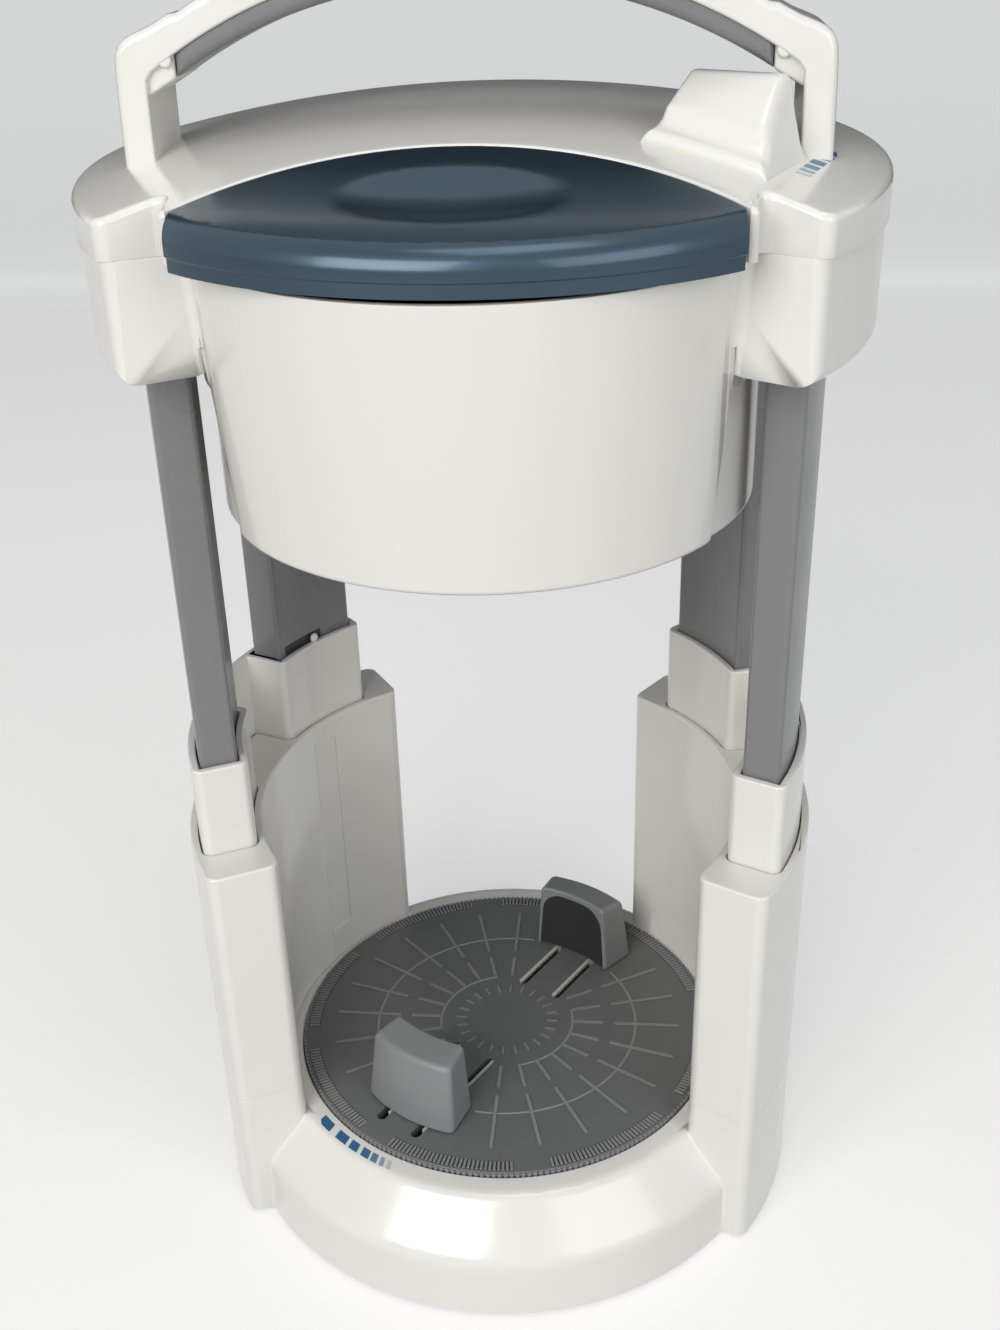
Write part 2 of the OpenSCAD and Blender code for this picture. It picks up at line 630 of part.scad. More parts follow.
gear_c_z = ring_z + ring_t + 0.6;
gear_c_t = 3.5;
gear_e_z = gear_c_z + gear_c_t + 0.6;
gear_e_t = 3.5;
rot_a = az_b;
rot_b = mate(rot_a, gear_a, gear_b, az_b);
rot_c = az_d;
rot_d = mate(rot_c, gear_c, gear_d, az_d);
rot_e = az_f;
rot_f = mate(rot_e, gear_e, gear_f, az_f);

module second_gear() color([0.88, 0.87, 0.8]) translate([second_p[0], second_p[1], 0]) difference() {
    union() {
        translate([0, 0, ring_z + 0.4]) rotate(rot_b) gear(gear_b, gear_c_z - ring_z);
        translate([0, 0, gear_c_z]) rotate(rot_c) gear(gear_c, gear_c_t);
    }
    translate([0, 0, ring_z - 1]) cylinder(r = shaft_r + fit, h = 30);
}

module first_gear() color([0.88, 0.87, 0.8]) translate([first_p[0], first_p[1], 0]) difference() {
    union() {
        translate([0, 0, gear_c_z + 0.2]) rotate(rot_d) gear(gear_d, gear_e_z - gear_c_z);
        translate([0, 0, gear_e_z]) rotate(rot_e) gear(gear_e, gear_e_t);
    }
    translate([0, 0, ring_z - 1]) cylinder(r = shaft_r + fit, h = 30);
}

module motor_pinion() color([0.78, 0.62, 0.3]) translate([motor_p[0], motor_p[1], 0]) {
    translate([0, 0, gear_e_z - 0.4]) rotate(rot_f) gear(gear_f, gear_e_t + 0.8);
    translate([0, 0, gear_e_z]) cylinder(r = 1.6, h = frame_z + frame_t + seat + 3.8 - gear_e_z);
}

module motor() color([0.6, 0.6, 0.62]) translate([motor_p[0], motor_p[1], frame_z + frame_t + seat]) {
    difference() {
        union() {
            cylinder(r = motor_r, h = motor_h);
            translate([0, 0, motor_h]) cylinder(r = 6, h = 3);
        }
        translate([0, 0, -1]) cylinder(r = 5, h = 5);
    }
    for (s = [-1, 1]) translate([s * 11 - 1, -0.4, motor_h]) cube([2, 0.8, 5]);
}

axle_z = lid_rack_z + rack_t + seat;   // underside of the carrier's axle
module gear_plate() color([0.7, 0.72, 0.7]) difference() {
    union() {
        translate([0, col_y, frame_z]) cylinder(r = frame_r, h = frame_t);
        translate([0, 0, axle_z]) cylinder(r = axle_r, h = frame_z + 1 - axle_z);
        translate([-12, -67, frame_z + 1]) cube([24, 12, switch_z - frame_z - 1]);
    }
    translate([motor_p[0], motor_p[1], frame_z - 1]) cylinder(r = 8, h = 10);
    for (p = [first_p, second_p]) translate([p[0], p[1], frame_z - 1]) cylinder(r = shaft_r, h = 10);
    translate([0, 0, lid_rack_z]) cylinder(r = 1.3, h = 16);
    for (a = post_az) translate(post_p(a)) cylinder(r = 1.9, h = 2 * far);
    both() translate([spring_p[0], spring_p[1], 0]) cylinder(r = 6.2, h = 2 * far);
}
function post_p(a) = let (p = polar(drum_r - wall - 6, a)) [p[0], p[1] + col_y, 0];

module gear_shafts() color([0.8, 0.8, 0.82]) {
    for (q = [[second_p, ring_z + 0.3], [first_p, gear_c_z - 0.8]])
        translate([q[0][0], q[0][1], q[1]]) cylinder(r = shaft_r, h = frame_z + frame_t - q[1]);
}

module gear_plate_screws() color([0.7, 0.7, 0.72]) {
    for (a = post_az) translate(post_p(a) + [0, 0, frame_z + frame_t + 0.9])
        mirror([0, 0, 1]) screw(14, 3, 1.25, 0.9);
    translate([0, 0, lid_rack_z + 0.1]) screw(12, 3, 1.25, 0.9);
}

// ---- head ------------------------------------------------------------------------------------------

// The drum's front: an upright-cut cylinder that leans forward
module bulge(inset) {
    intersection() {
        translate([0, bulge_y, drum_z]) rotate([tilt, 0, 0])
            cylinder(r = bulge_r - inset, h = 240, center = true);
        translate([-far, -far, drum_z - eps]) cube([2 * far, far, seam_z - drum_z]);
    }
}

// The plan that the drum may fill where it passes the columns
module pass_2d(inset) {
    translate([0, col_y]) circle(r = drum_r - inset);
    translate([0, front_y(front_p, front_a) - (side_gap + inset) / cos(front_a)])
        polygon([[0, 0], [far, far * tan(front_a)], [far, -far], [-far, -far], [-far, far * tan(front_a)]]);
}

module drum(inset, z0) {
    z_wide = ear_z - 4;
    intersection() {
        union() {
            bulge(inset);
            translate([0, col_y, drum_z]) cylinder(r = drum_r - inset, h = seam_z - drum_z);
        }
        union() {
            translate([0, 0, z0]) linear_extrude(z_wide - z0 + (inset > 0 ? wall : 0)) pass_2d(inset);
            translate([-far, -far, z_wide + (inset > 0 ? wall : 0)]) cube([2 * far, 2 * far, far]);
        }
    }
}

// The round body of the head with its two ears, curled in under its outer edge
module ears(inset, top) {
    intersection() {
        translate([0, 0, ear_z + inset]) linear_extrude(top - ear_z) difference() {
            head_2d(head_r, inset);
            head_corners_2d(head_r, inset);
        }
        rotate_extrude() {
            translate([0, ear_z]) square([head_r - ear_curl, far]);
            translate([0, ear_z + ear_curl]) square([head_r - inset, far]);
            translate([head_r - ear_curl, ear_z + ear_curl]) circle(r = ear_curl - inset, $fn = 48);
        }
    }
}

module head_housing() color([0.9, 0.9, 0.87]) {
    difference() {
        union() {
            drum(0, drum_z);
            ears(0, seam_z);
        }
        difference() {
            union() {
                drum(wall, drum_z + wall);
                ears(wall, far * 2);
            }
            translate([0, 0, drum_z]) cylinder(r = recess_r + 2, h = lid_hub_z - drum_z);
            for (a = post_az) translate(post_p(a)) cylinder(r = 4.5, h = frame_z - seat);
            both() translate([spring_p[0], spring_p[1], 0]) cylinder(r = 5.5, h = spring_z - seat);
            both() for (tube = [front_tube, rear_tube])
                translate([0, 0, ear_z]) linear_extrude(leg_top + seat + wall - ear_z)
                    sector_2d(leg_ri - slip - 2, leg_ro + slip + 2, leg_span(tube), -slip - 2);
        }
        translate([0, 0, drum_z - 1]) cylinder(r = recess_r, h = lid_hub_z - drum_z + 2);
        for (a = post_az) translate(post_p(a) + [0, 0, drum_z + 5]) cylinder(r = 1.3, h = far);
        both() for (tube = [front_tube, rear_tube]) {
            translate([0, 0, ear_z - 1]) linear_extrude(leg_top + seat - ear_z + 1)
                sector_2d(leg_ri - slip / 2, leg_ro + slip / 2, leg_span(tube), -slip / 2);
            translate(leg_screw_p(tube)) cylinder(r = 1.9, h = 20);
        }
        translate([0, 0, seam_z - pad_travel - 0.3]) linear_extrude(10) lens_2d(-pad_gap);
        translate([0, head_back + 1, gland_z]) rotate([90, 0, 0]) cylinder(r = 5, h = 10);
        translate([latch_p[0], latch_p[1], leg_top]) cylinder(r = latch_r + 0.5, h = 20);
    }
}

spring_p = [42, -66];
spring_z = seam_z - 15;
gland_z = seam_z - 14;

module ball(inset = 0) translate([0, crown_y, crown_top - crown_r]) sphere(r = crown_r - inset, $fn = 180);

module top_cover() color([0.9, 0.9, 0.87]) difference() {
    intersection() {
        translate([0, 0, seam_z]) linear_extrude(40) cover_2d();
        ball();
    }
    intersection() {
        translate([0, 0, seam_z - 1]) linear_extrude(40) difference() {
            cover_2d(wall);
            lens_2d(-pad_gap - wall);
        }
        ball(wall);
    }
    translate([0, 0, seam_z - 1]) linear_extrude(40) lens_2d(-pad_gap);
    translate([0, 0, seam_z - 1]) linear_extrude(40) head_corners_2d(head_r + cover_lip);
    translate([lever_p[0], lever_p[1], seam_z]) rotate(lever_az)
        translate([-4, -5, 0]) cube([8 + lever_travel, 10, 60]);
    both() for (y = handle_screw_y) translate([handle_x - post_t / 2, y, 0]) cylinder(r = 1.9, h = 2 * far);
}

handle_screw_y = [handle_y - 8, handle_y + 8];

// A face of the handle's arch: everything below an arc that peaks at z = top
module under_arc_2d(top) {
    translate([0, top - arch_r]) circle(r = arch_r, $fn = 180);
}

corner = 4.5;
module handle_frame() color([0.92, 0.92, 0.89]) difference() {
    translate([0, handle_y, 0]) rotate([90, 0, 0]) linear_extrude(handle_w, center = true) difference() {
        intersection() {
            translate([-handle_x, 0]) square([2 * handle_x, far + 200]);
            under_arc_2d(handle_top);
            polygon([[-handle_x, 0], [-handle_x, handle_top - 31], [-handle_x + corner, handle_top - 26],
                [-handle_x / 2, far * 2], [handle_x / 2, far * 2], [handle_x - corner, handle_top - 26],
                [handle_x, handle_top - 31], [handle_x, 0]]);
        }
        intersection() {
            translate([-handle_x + post_t, 0]) square([2 * (handle_x - post_t), far + 200]);
            under_arc_2d(handle_top - post_t + 2.5);
        }
    }
    ball(-fit);
    both() for (y = handle_screw_y) translate([handle_x - post_t / 2, y, 0]) cylinder(r = 1.3, h = 366);
}

module handle_grip() color([0.5, 0.51, 0.53]) translate([0, handle_y, 0]) rotate([90, 0, 0])
    linear_extrude(handle_w - 3, center = true) intersection() {
        translate([-grip_x, 0]) square([2 * grip_x, far + 200]);
        difference() {
            under_arc_2d(handle_top - post_t + 2.5 - seat);
            under_arc_2d(handle_top - post_t + 2.5 - grip_t);
        }
    }

module handle_screws() color([0.7, 0.7, 0.72]) both() for (y = handle_screw_y)
    translate([handle_x - post_t / 2, y, crown_top - 16.8]) screw(16, 3.2, 1.25, 2);

// ---- controls --------------------------------------------------------------------------------------

switch_z = seam_z - 15;
module power_switch() color([0.15, 0.15, 0.16]) {
    translate([-10, -66, switch_z + seat]) cube([20, 10, 11]);
    translate([0, -61, switch_z + 10]) cylinder(r = 2.5, h = 3.5);
}

module power_pad() color([0.16, 0.28, 0.4]) {
    difference() {
        intersection() {
            union() {
                translate([0, 0, pad_z]) linear_extrude(pad_step + eps) lens_2d(0.5);
                translate([0, 0, pad_z + pad_step]) linear_extrude(40) lens_2d();
            }
            ball(fit);
        }
        difference() {
            intersection() {
                translate([0, 0, pad_z - 1]) linear_extrude(40) lens_2d(wall);
                ball(wall);
            }
            dish(wall);
        }
        dish(0);
    }
    translate([0, -61, pad_stem_z]) cylinder(r = 4, h = 15);
    both() translate([spring_p[0], spring_p[1], pad_z + 5]) cylinder(r = 5, h = 11);
}
pad_stem_z = switch_z + 13.5 + pad_travel + 0.3;
dish_r = 34;         // the finger dish is pressed by a barrel of this radius
dish_arc = 134;      // whose side bows with this radius
dish_p = [0, -79.4, 384.3];
module dish(grow) translate(dish_p) rotate([0, 90, 0]) rotate_extrude() intersection() {
    translate([dish_r - dish_arc, 0]) circle(r = dish_arc + grow, $fn = 180);
    translate([0, -45]) square([2 * dish_r, 90]);
}

module pad_springs() color([0.75, 0.75, 0.78])
    both() translate([spring_p[0], spring_p[1], spring_z]) difference() {
        cylinder(r = 4.5, h = pad_z + 5 - seat - spring_z);
        translate([0, 0, -1]) cylinder(r = 3.6, h = 60);
    }

// Where the lever must end to pass the handle's post
lever_end = handle_x - post_t - lever_travel * cos(lever_az) - 0.3;
module release_lever() color([0.92, 0.92, 0.89]) difference() {
    union() {
        translate([lever_p[0], lever_p[1], 0]) rotate(lever_face) {
            lever_grip();
            lever_foot();
        }
        translate([lever_p[0], lever_p[1], 0]) rotate(lever_az)
            translate([-3, -4, seam_z + 2]) cube([6, 8, 20]);
    }
    translate([lever_end, -far, 0]) cube(2 * far);
}
module lever_grip() difference() {
    intersection() {
        rotate([90, 0, 0]) linear_extrude(60, center = true)
            polygon([[-8, lever_low], [-8, lever_h], [14.5, lever_h], [17.5, lever_low]]);
        rotate([90, 0, 90]) linear_extrude(80, center = true)
            polygon([[-17.5, lever_low], [-16.5, lever_h - 21], [-12.5, lever_h - 1],
                [-10.5, lever_h], [10, lever_h], [12, lever_h - 1], [17, lever_h - 21],
                [18, lever_low]]);
    }
    translate([-20.5, 0, lever_h + 9]) rotate([90, 0, 0]) cylinder(r = 30, h = 80, center = true);
    lever_crown();
}
module lever_foot() difference() {
    intersection() {
        translate([0, 0, lever_low]) linear_extrude(30) polygon([[-9.5, 16], [-9.5, -17.5],
            [-8, -19], [17, -15.5], [19, -13.5], [19, 17], [16, 19], [-8, 18]]);
        translate([0, 0, lever_bead]) lever_crown();
    }
    lever_crown();
}
// The crown's surface, seen from the lever's own place, with the clearance under the lever
module lever_crown() rotate(-lever_face) translate([-lever_p[0], -lever_p[1], 0]) ball(-0.3);
lever_low = 346;

latch_p = let (p = polar(leg_mid, front_tube[0] + 7)) [p[0], p[1] + col_y];
latch_r = 2;
module latch_rod() color([0.75, 0.75, 0.78]) translate([latch_p[0], latch_p[1], leg_bottom + 1]) {
    cylinder(r = latch_r, h = leg_top + 5 - leg_bottom);
    cylinder(r = 3.9, h = 5);
}

module lever_spring() color([0.75, 0.75, 0.78])
    translate([lever_p[0], lever_p[1], seam_z + 5]) rotate(lever_az)
        translate([4, 0, 0]) rotate([0, 90, 0]) difference() {
            cylinder(r = 3, h = 10);
            translate([0, 0, -1]) cylinder(r = 2.2, h = 60);
        }

module cord_gland() color([0.2, 0.2, 0.2])
    translate([0, head_back - 0.2, gland_z]) rotate([90, 0, 0]) difference() {
        union() {
            cylinder(r = 5 - fit, h = 8);
            translate([0, 0, wall + 0.3]) cylinder(r = 7, h = 2);
        }
        translate([0, 0, -1]) cylinder(r = 3, h = 20);
    }

base_tub();
base_plate();
rubber_feet();
base_screws();
left_casing();
right_casing();
table_bearing();
jar_pinion();
turntable();
turntable_underplate();
turntable_screws();
guide_rods();
front_jar_jaw();
front_jar_pad();
front_jar_rack();
back_jar_jaw();
back_jar_pad();
back_jar_rack();
left_sleeve();
right_sleeve();
left_front_leg();
left_rear_leg();
right_front_leg();
right_rear_leg();
leg_screws();
head_housing();
top_cover();
handle_frame();
handle_grip();
handle_screws();
gear_plate();
gear_shafts();
gear_plate_screws();
motor();
motor_pinion();
first_gear();
second_gear();
lid_pinion();
lid_carrier();
right_lid_jaw();
right_lid_pad();
right_lid_rack();
left_lid_jaw();
left_lid_pad();
left_lid_rack();
power_switch();
power_pad();
pad_springs();
release_lever();
latch_rod();
lever_spring();
cord_gland();
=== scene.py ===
# %% [markdown]
# # An electric jar opener, dressed for its photograph
# The imported CAD model is the frame of everything here. It already has the right sizes and the moving
# bodies, so this notebook only adds what a plain solid lacks: rounded edges, real finishes, light and a
# camera. The first cell loads the frame.

import json
import math

import bmesh
import bpy
from mathutils import Matrix, Vector


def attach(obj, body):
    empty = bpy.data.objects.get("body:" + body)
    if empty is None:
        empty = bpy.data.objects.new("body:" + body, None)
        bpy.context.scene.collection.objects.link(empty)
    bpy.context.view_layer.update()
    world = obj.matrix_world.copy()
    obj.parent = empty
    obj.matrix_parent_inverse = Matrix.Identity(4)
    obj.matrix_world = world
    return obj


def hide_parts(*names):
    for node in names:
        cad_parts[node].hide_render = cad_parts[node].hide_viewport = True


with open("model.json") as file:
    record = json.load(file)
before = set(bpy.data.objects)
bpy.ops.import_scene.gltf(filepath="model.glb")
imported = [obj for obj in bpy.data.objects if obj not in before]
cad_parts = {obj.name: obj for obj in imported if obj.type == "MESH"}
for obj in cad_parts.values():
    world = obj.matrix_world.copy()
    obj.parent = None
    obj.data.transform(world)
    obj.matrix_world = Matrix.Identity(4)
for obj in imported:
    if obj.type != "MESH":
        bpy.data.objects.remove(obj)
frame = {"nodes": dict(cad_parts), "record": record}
NODES = frame["nodes"]
BODY_OF = {n: body for body, names in frame["record"]["behaviour"]["bodies"].items() for n in names}
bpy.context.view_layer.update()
MM = 0.001

# %% [markdown]
# ## The camera
# The photograph was taken by hand, from a little to the right and above. Its place was worked out from
# the ellipse of the turntable and the corners of the columns. A camera in Blender looks along its own
# -Z axis with +Y up, so three perpendicular directions make its matrix directly, which avoids any
# trouble with the order of Euler angles.

# %% Camera
CAMERA_AT = Vector((45.46, -431.53, 421.47)) * MM
YAW, PITCH, ROLL = (math.radians(a) for a in (-5.864, -28.034, -1.618))
FOCAL_OVER_WIDTH = 1.5


def photo_camera():
    forward = Vector((math.sin(YAW) * math.cos(PITCH), math.cos(YAW) * math.cos(PITCH), math.sin(PITCH)))
    level = Vector((math.cos(YAW), -math.sin(YAW), 0))
    upward = level.cross(forward)
    right = level * math.cos(ROLL) + upward * math.sin(ROLL)
    up = upward * math.cos(ROLL) - level * math.sin(ROLL)
    data = bpy.data.cameras.new("photo_camera")
    data.sensor_fit = "HORIZONTAL"
    data.lens = FOCAL_OVER_WIDTH * data.sensor_width
    data.clip_start = 0.01
    camera = bpy.data.objects.new("photo_camera", data)
    camera.matrix_world = Matrix.Translation(CAMERA_AT) @ Matrix((right, up, -forward)).transposed().to_4x4()
    bpy.context.scene.collection.objects.link(camera)
    bpy.context.scene.camera = camera
    print("camera lens in mm:", round(data.lens, 1))


photo_camera()

# %% [markdown]
# ## Shader arithmetic
# Node graphs are hard to read in code when every sum takes four lines. A small class wraps an output
# socket, so that `rubbed * 0.1 + 0.2` adds the Math nodes by itself. Any other node comes from one
# method that takes its type, its settings and its inputs.

# %% Finish and Value
class Value:
    """The value that comes out of a socket, ready for arithmetic."""

    def __init__(self, finish, socket):
        self.finish, self.socket = finish, socket

    def _with(self, operation, *inputs):
        return self.finish.node("Math", {"operation": operation}, *inputs)

    def __add__(self, other):
        return self._with("ADD", self, other)

    def __radd__(self, other):
        return self._with("ADD", other, self)

    def __mul__(self, other):
        return self._with("MULTIPLY", self, other)

    def __rmul__(self, other):
        return self._with("MULTIPLY", other, self)


class Finish:
    """One material, built round its Principled shader."""

    def __init__(self, name, color, roughness, **fixed):
        self.material = bpy.data.materials.new(name)
        self.material.use_nodes = True
        self.tree = self.material.node_tree
        self.shader = self.tree.nodes["Principled BSDF"]
        self.shader.inputs["Base Color"].default_value = (*color, 1)
        self.shader.inputs["Roughness"].default_value = roughness
        for socket, value in fixed.items():
            self.shader.inputs[socket.replace("_", " ")].default_value = value
        self.place = self.node("TexCoord", {}, output="Object")

    def node(self, kind, settings, *inputs, output=0, **named):
        """Adds a node, sets it up, feeds its inputs in order or by name, and returns one output."""
        made = self.tree.nodes.new("ShaderNode" + kind)
        for key, value in settings.items():
            setattr(made, key, value)
        pairs = list(zip(made.inputs, inputs))
        pairs += [(made.inputs[name.replace("_", " ")], value) for name, value in named.items()]
        for socket, value in pairs:
            if isinstance(value, Value):
                self.tree.links.new(value.socket, socket)
            else:
                socket.default_value = value
        return Value(self, made.outputs[output])

    def feed(self, socket, value):
        """Links a value to an input of the Principled shader."""
        self.tree.links.new(value.socket, self.shader.inputs[socket])

    def noise(self, scale, detail):
        return self.node("TexNoise", {}, self.place, Scale=scale, Detail=detail, output="Fac")

    def mix(self, factor, a, b):
        """Blends colours a and b. The Mix node has them as inputs 6 and 7, and the result as output 2."""
        made = self.tree.nodes.new("ShaderNodeMix")
        made.data_type = "RGBA"
        self.tree.links.new(factor.socket, made.inputs[0])
        made.inputs[6].default_value = (*a, 1)
        made.inputs[7].default_value = (*b, 1)
        return Value(self, made.outputs[2])

    def bump(self, height, depth):
        bumped = self.node("Bump", {}, Strength=1.0, Distance=depth, Height=height, output="Normal")
        self.feed("Normal", bumped)


def shade(color, factor):
    return tuple(min(1, c * factor) for c in color)


print("shader helpers ready")

# %% [markdown]
# ## Plastic finishes
# Injection-moulded plastic is never one flat colour. It has a fine peel that breaks up reflections,
# slightly cloudy colour, and roughness that changes where hands have rubbed it. Each finish here starts
# from the same three layers and then differs in colour, roughness and strength.

# %% Mouldings
PATCH_SCALE, RUBBED_SCALE, PEEL_SCALE = 14.0, 60.0, 900.0
ROUGHNESS_SWING = 0.10


def moulding(name, color, roughness, cloud=0.03, peel=0.02 * MM, **fixed):
    """Cloudy colour, rubbed patches of roughness, and a fine peel that is that many metres deep."""
    finish = Finish(name, color, roughness, **fixed)
    patches = finish.noise(PATCH_SCALE, 3.0)
    finish.feed("Base Color", finish.mix(patches, shade(color, 1 - cloud), shade(color, 1 + cloud)))
    rubbed = finish.noise(RUBBED_SCALE, 4.0)
    finish.feed("Roughness", rubbed * ROUGHNESS_SWING + (roughness - ROUGHNESS_SWING / 2))
    finish.bump(finish.noise(PEEL_SCALE, 1.0), peel)
    return finish


white = moulding("white_moulding", (0.76, 0.75, 0.71), 0.2, Coat_Weight=0.35, Coat_Roughness=0.08)
leg_grey = moulding("leg_grey", (0.195, 0.195, 0.2), 0.28)
table_grey = moulding("table_grey", (0.135, 0.138, 0.14), 0.4, cloud=0.08)
jaw_grey = moulding("jaw_grey", (0.22, 0.225, 0.23), 0.38)
rubber = moulding("rubber", (0.018, 0.018, 0.019), 0.7, cloud=0.1, peel=0.06 * MM)
pad_blue = moulding("pad_blue", (0.031, 0.062, 0.092), 0.3,
                    Metallic=0.7, Coat_Weight=0.4, Coat_Roughness=0.12)
steel = moulding("steel", (0.62, 0.62, 0.63), 0.28, Metallic=1.0)
brass = moulding("brass", (0.72, 0.52, 0.22), 0.3, Metallic=1.0)
nylon = moulding("nylon", (0.72, 0.71, 0.65), 0.5)
plain_grey = moulding("plain_grey", (0.45, 0.45, 0.45), 0.5)
black_plastic = moulding("black_plastic", (0.02, 0.02, 0.02), 0.4)
tick_grey = moulding("tick_grey", (0.24, 0.245, 0.245), 0.35, cloud=0.06)
# A plain light grey rather than metal: the rails' bright glint is painted into it.
rail_glint_grey = moulding("rail_glint_grey", (0.55, 0.55, 0.54), 0.3)
# A near-black finish that paints shade, used under the turntable's ticks.
tick_gap_shade = moulding("tick_gap_shade", (0.03, 0.03, 0.03), 0.6)

FINISH_OF_SLOT = {
    "white_plastic": white, "leg_grey": leg_grey, "table_grey": table_grey, "jaw_grey": jaw_grey,
    "rubber": rubber, "pad_blue": pad_blue, "steel": steel, "brass": brass, "nylon": nylon,
    "frame_grey": plain_grey, "black_plastic": black_plastic,
}
SLOT_OF = {part["node"]: part["material_slot"] for part in frame["record"]["subparts"]}
for name, obj in NODES.items():
    obj.data.materials.clear()
    obj.data.materials.append(FINISH_OF_SLOT[SLOT_OF[name]].material)
print("finishes of slots:", len(FINISH_OF_SLOT))

# %% [markdown]
# ## Rounded edges
# A real moulding has a radius on every edge, and it is that radius that catches the light. The CAD
# solids are sharp there, so a visible one is copied, its loose triangles are merged back into large
# faces, and chosen edges are bevelled. Each part has its own radii, so edges are picked by a small
# test on where their middle lies. The copy then stands for the CAD node. A merged face can be a whole
# ring, which would be filled right across its hole when it is split into triangles, so faces with a
# long outline are cut first.

# %% Merge, pick and bevel
def everything(mesh):
    return mesh.verts[:] + mesh.edges[:] + mesh.faces[:]


def merged_copy(node):
    """A bmesh of a CAD node with its triangles merged into whole faces."""
    mesh = bmesh.new()
    mesh.from_mesh(NODES[node].data)
    bmesh.ops.remove_doubles(mesh, verts=mesh.verts, dist=0.002 * MM)
    bmesh.ops.dissolve_limit(mesh, angle_limit=math.radians(0.6), verts=mesh.verts, edges=mesh.edges)
    return mesh


WIDE_CUTS, WIDE_STEP, WIDE_START, LONG_OUTLINE = range(-5, 6), 19, 3.3, 14


def cut_wide_faces(mesh):
    """Cuts level faces with a long outline, such as rings, so that none is left to wrap round a hole."""
    for axis in (0, 1):
        for count in WIDE_CUTS:
            faces = [f for f in mesh.faces if len(f.verts) > LONG_OUTLINE and abs(f.normal.z) > 0.9]
            geom = {v for f in faces for v in f.verts} | {e for f in faces for e in f.edges} | set(faces)
            at, normal = Vector((0, 0, 0)), Vector((0, 0, 0))
            at[axis], normal[axis] = (count * WIDE_STEP + WIDE_START) * MM, 1
            bmesh.ops.bisect_plane(mesh, geom=list(geom), dist=1e-6, plane_co=at, plane_no=normal)


def middle(edge):
    return (edge.verts[0].co + edge.verts[1].co) / 2 / MM


def direction(edge):
    return (edge.verts[1].co - edge.verts[0].co).normalized()


def at_height(z):
    return lambda m, e: abs(m.z - z) < 0.05 and abs(direction(e).z) < 0.01


def from_centre(m):
    return math.hypot(m.x, m.y)


def round_off(mesh, radius, pick, segments=4, angle=25):
    """Bevels the sharp edges that pick(middle, edge) accepts. All sizes are in millimetres."""
    limit = math.radians(angle)
    edges = [e for e in mesh.edges
             if len(e.link_faces) == 2 and e.calc_face_angle(0) > limit and pick(middle(e), e)]
    if edges:
        bmesh.ops.bevel(mesh, geom=edges, offset=radius * MM, offset_type="OFFSET", segments=segments,
                        profile=0.5, affect="EDGES", clamp_overlap=False, material=-1)
    return len(edges)


def as_object(mesh, name, finish):
    """Turns a bmesh into an object of the scene, and frees the bmesh."""
    data = bpy.data.meshes.new(name)
    mesh.to_mesh(data)
    mesh.free()
    data.materials.append(finish.material)
    made = bpy.data.objects.new(name, data)
    bpy.context.scene.collection.objects.link(made)
    return made


def as_piece(mesh, name, body, finish, stands_for=(), sharp=32):
    """Turns a bmesh into a finished piece that rides on a body."""
    bmesh.ops.triangulate(mesh, faces=[f for f in mesh.faces if len(f.verts) > 4])
    piece = as_object(mesh, name, finish)
    piece.data.shade_smooth()
    piece.data.set_sharp_from_angle(angle=math.radians(sharp))
    shading = piece.modifiers.new("even_shading", "WEIGHTED_NORMAL")
    shading.keep_sharp = True
    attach(piece, body)
    if stands_for:
        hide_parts(*stands_for)
    return piece


def join_rings(mesh, loops):
    """Adds the faces between each closed ring of points and the next."""
    for ring, following in zip(loops, loops[1:]):
        for i in range(len(ring)):
            mesh.faces.new((ring[i - 1], ring[i], following[i], following[i - 1]))


END_STEPS = 5


def rounded_prism(profile, radii, span, place, middle_cuts=1):
    """Sweeps the closed profile of (u, w) points along v over span, with both ends rounded over.

    radii has one rounding radius for each profile point, and place(u, w, v) gives the point in space."""
    count = len(profile)
    normals = []
    for i, point in enumerate(profile):
        before = Vector(point) - Vector(profile[i - 1])
        after = Vector(profile[(i + 1) % count]) - Vector(point)
        along = (before.normalized() + after.normalized()).normalized()
        normals.append(Vector((-along.y, along.x)))
    turns = [math.pi / 2 * k / END_STEPS for k in range(END_STEPS + 1)]
    between = [span[0] + (span[1] - span[0]) * k / middle_cuts for k in range(1, middle_cuts)]
    rings = [(span[0], 1, turn) for turn in turns]
    rings += [(v, 0, math.pi / 2) for v in between]
    rings += [(span[1], -1, turn) for turn in reversed(turns)]
    mesh = bmesh.new()
    loops = []
    for start, way, turn in rings:
        loop = []
        for point, normal, radius in zip(profile, normals, radii):
            inner = Vector(point) + normal * radius * (1 - math.sin(turn))
            v = start + way * radius * (1 - math.cos(turn))
            loop.append(mesh.verts.new(Vector(place(inner.x, inner.y, v)) * MM))
        loops.append(loop)
    join_rings(mesh, loops)
    mesh.faces.new(loops[0])
    mesh.faces.new(loops[-1])
    bmesh.ops.recalc_face_normals(mesh, faces=mesh.faces)
    return mesh


def softened(node, *roundings, angle=25, reshape=None):
    """A copy of a CAD node with its edges rounded, one rounding (radius, pick, segments) after another."""
    mesh = merged_copy(node)
    if reshape:
        reshape(mesh)
    cut_wide_faces(mesh)
    counts = [round_off(mesh, radius, pick, segments, angle) for radius, pick, segments in roundings]
    slot = SLOT_OF[node]
    piece = as_piece(mesh, node + "_soft", BODY_OF[node], FINISH_OF_SLOT[slot], (node,))
    print(node, "edges:", counts, "faces:", len(piece.data.polygons))


print("rounding helpers ready")

# %% [markdown]
# ## Columns
# The casings and sleeves are thin mouldings that slide into each other. Their upper rims are softly
# rounded, and where a casing stands on the base a fine V-groove shows the parting line, so both sides of
# that joint get a very small bevel.

# %% Casings and sleeves
COLUMN_Y, CASING_TOP, BASE_TOP, SLEEVE_TOP = -4, 145, 53, 176


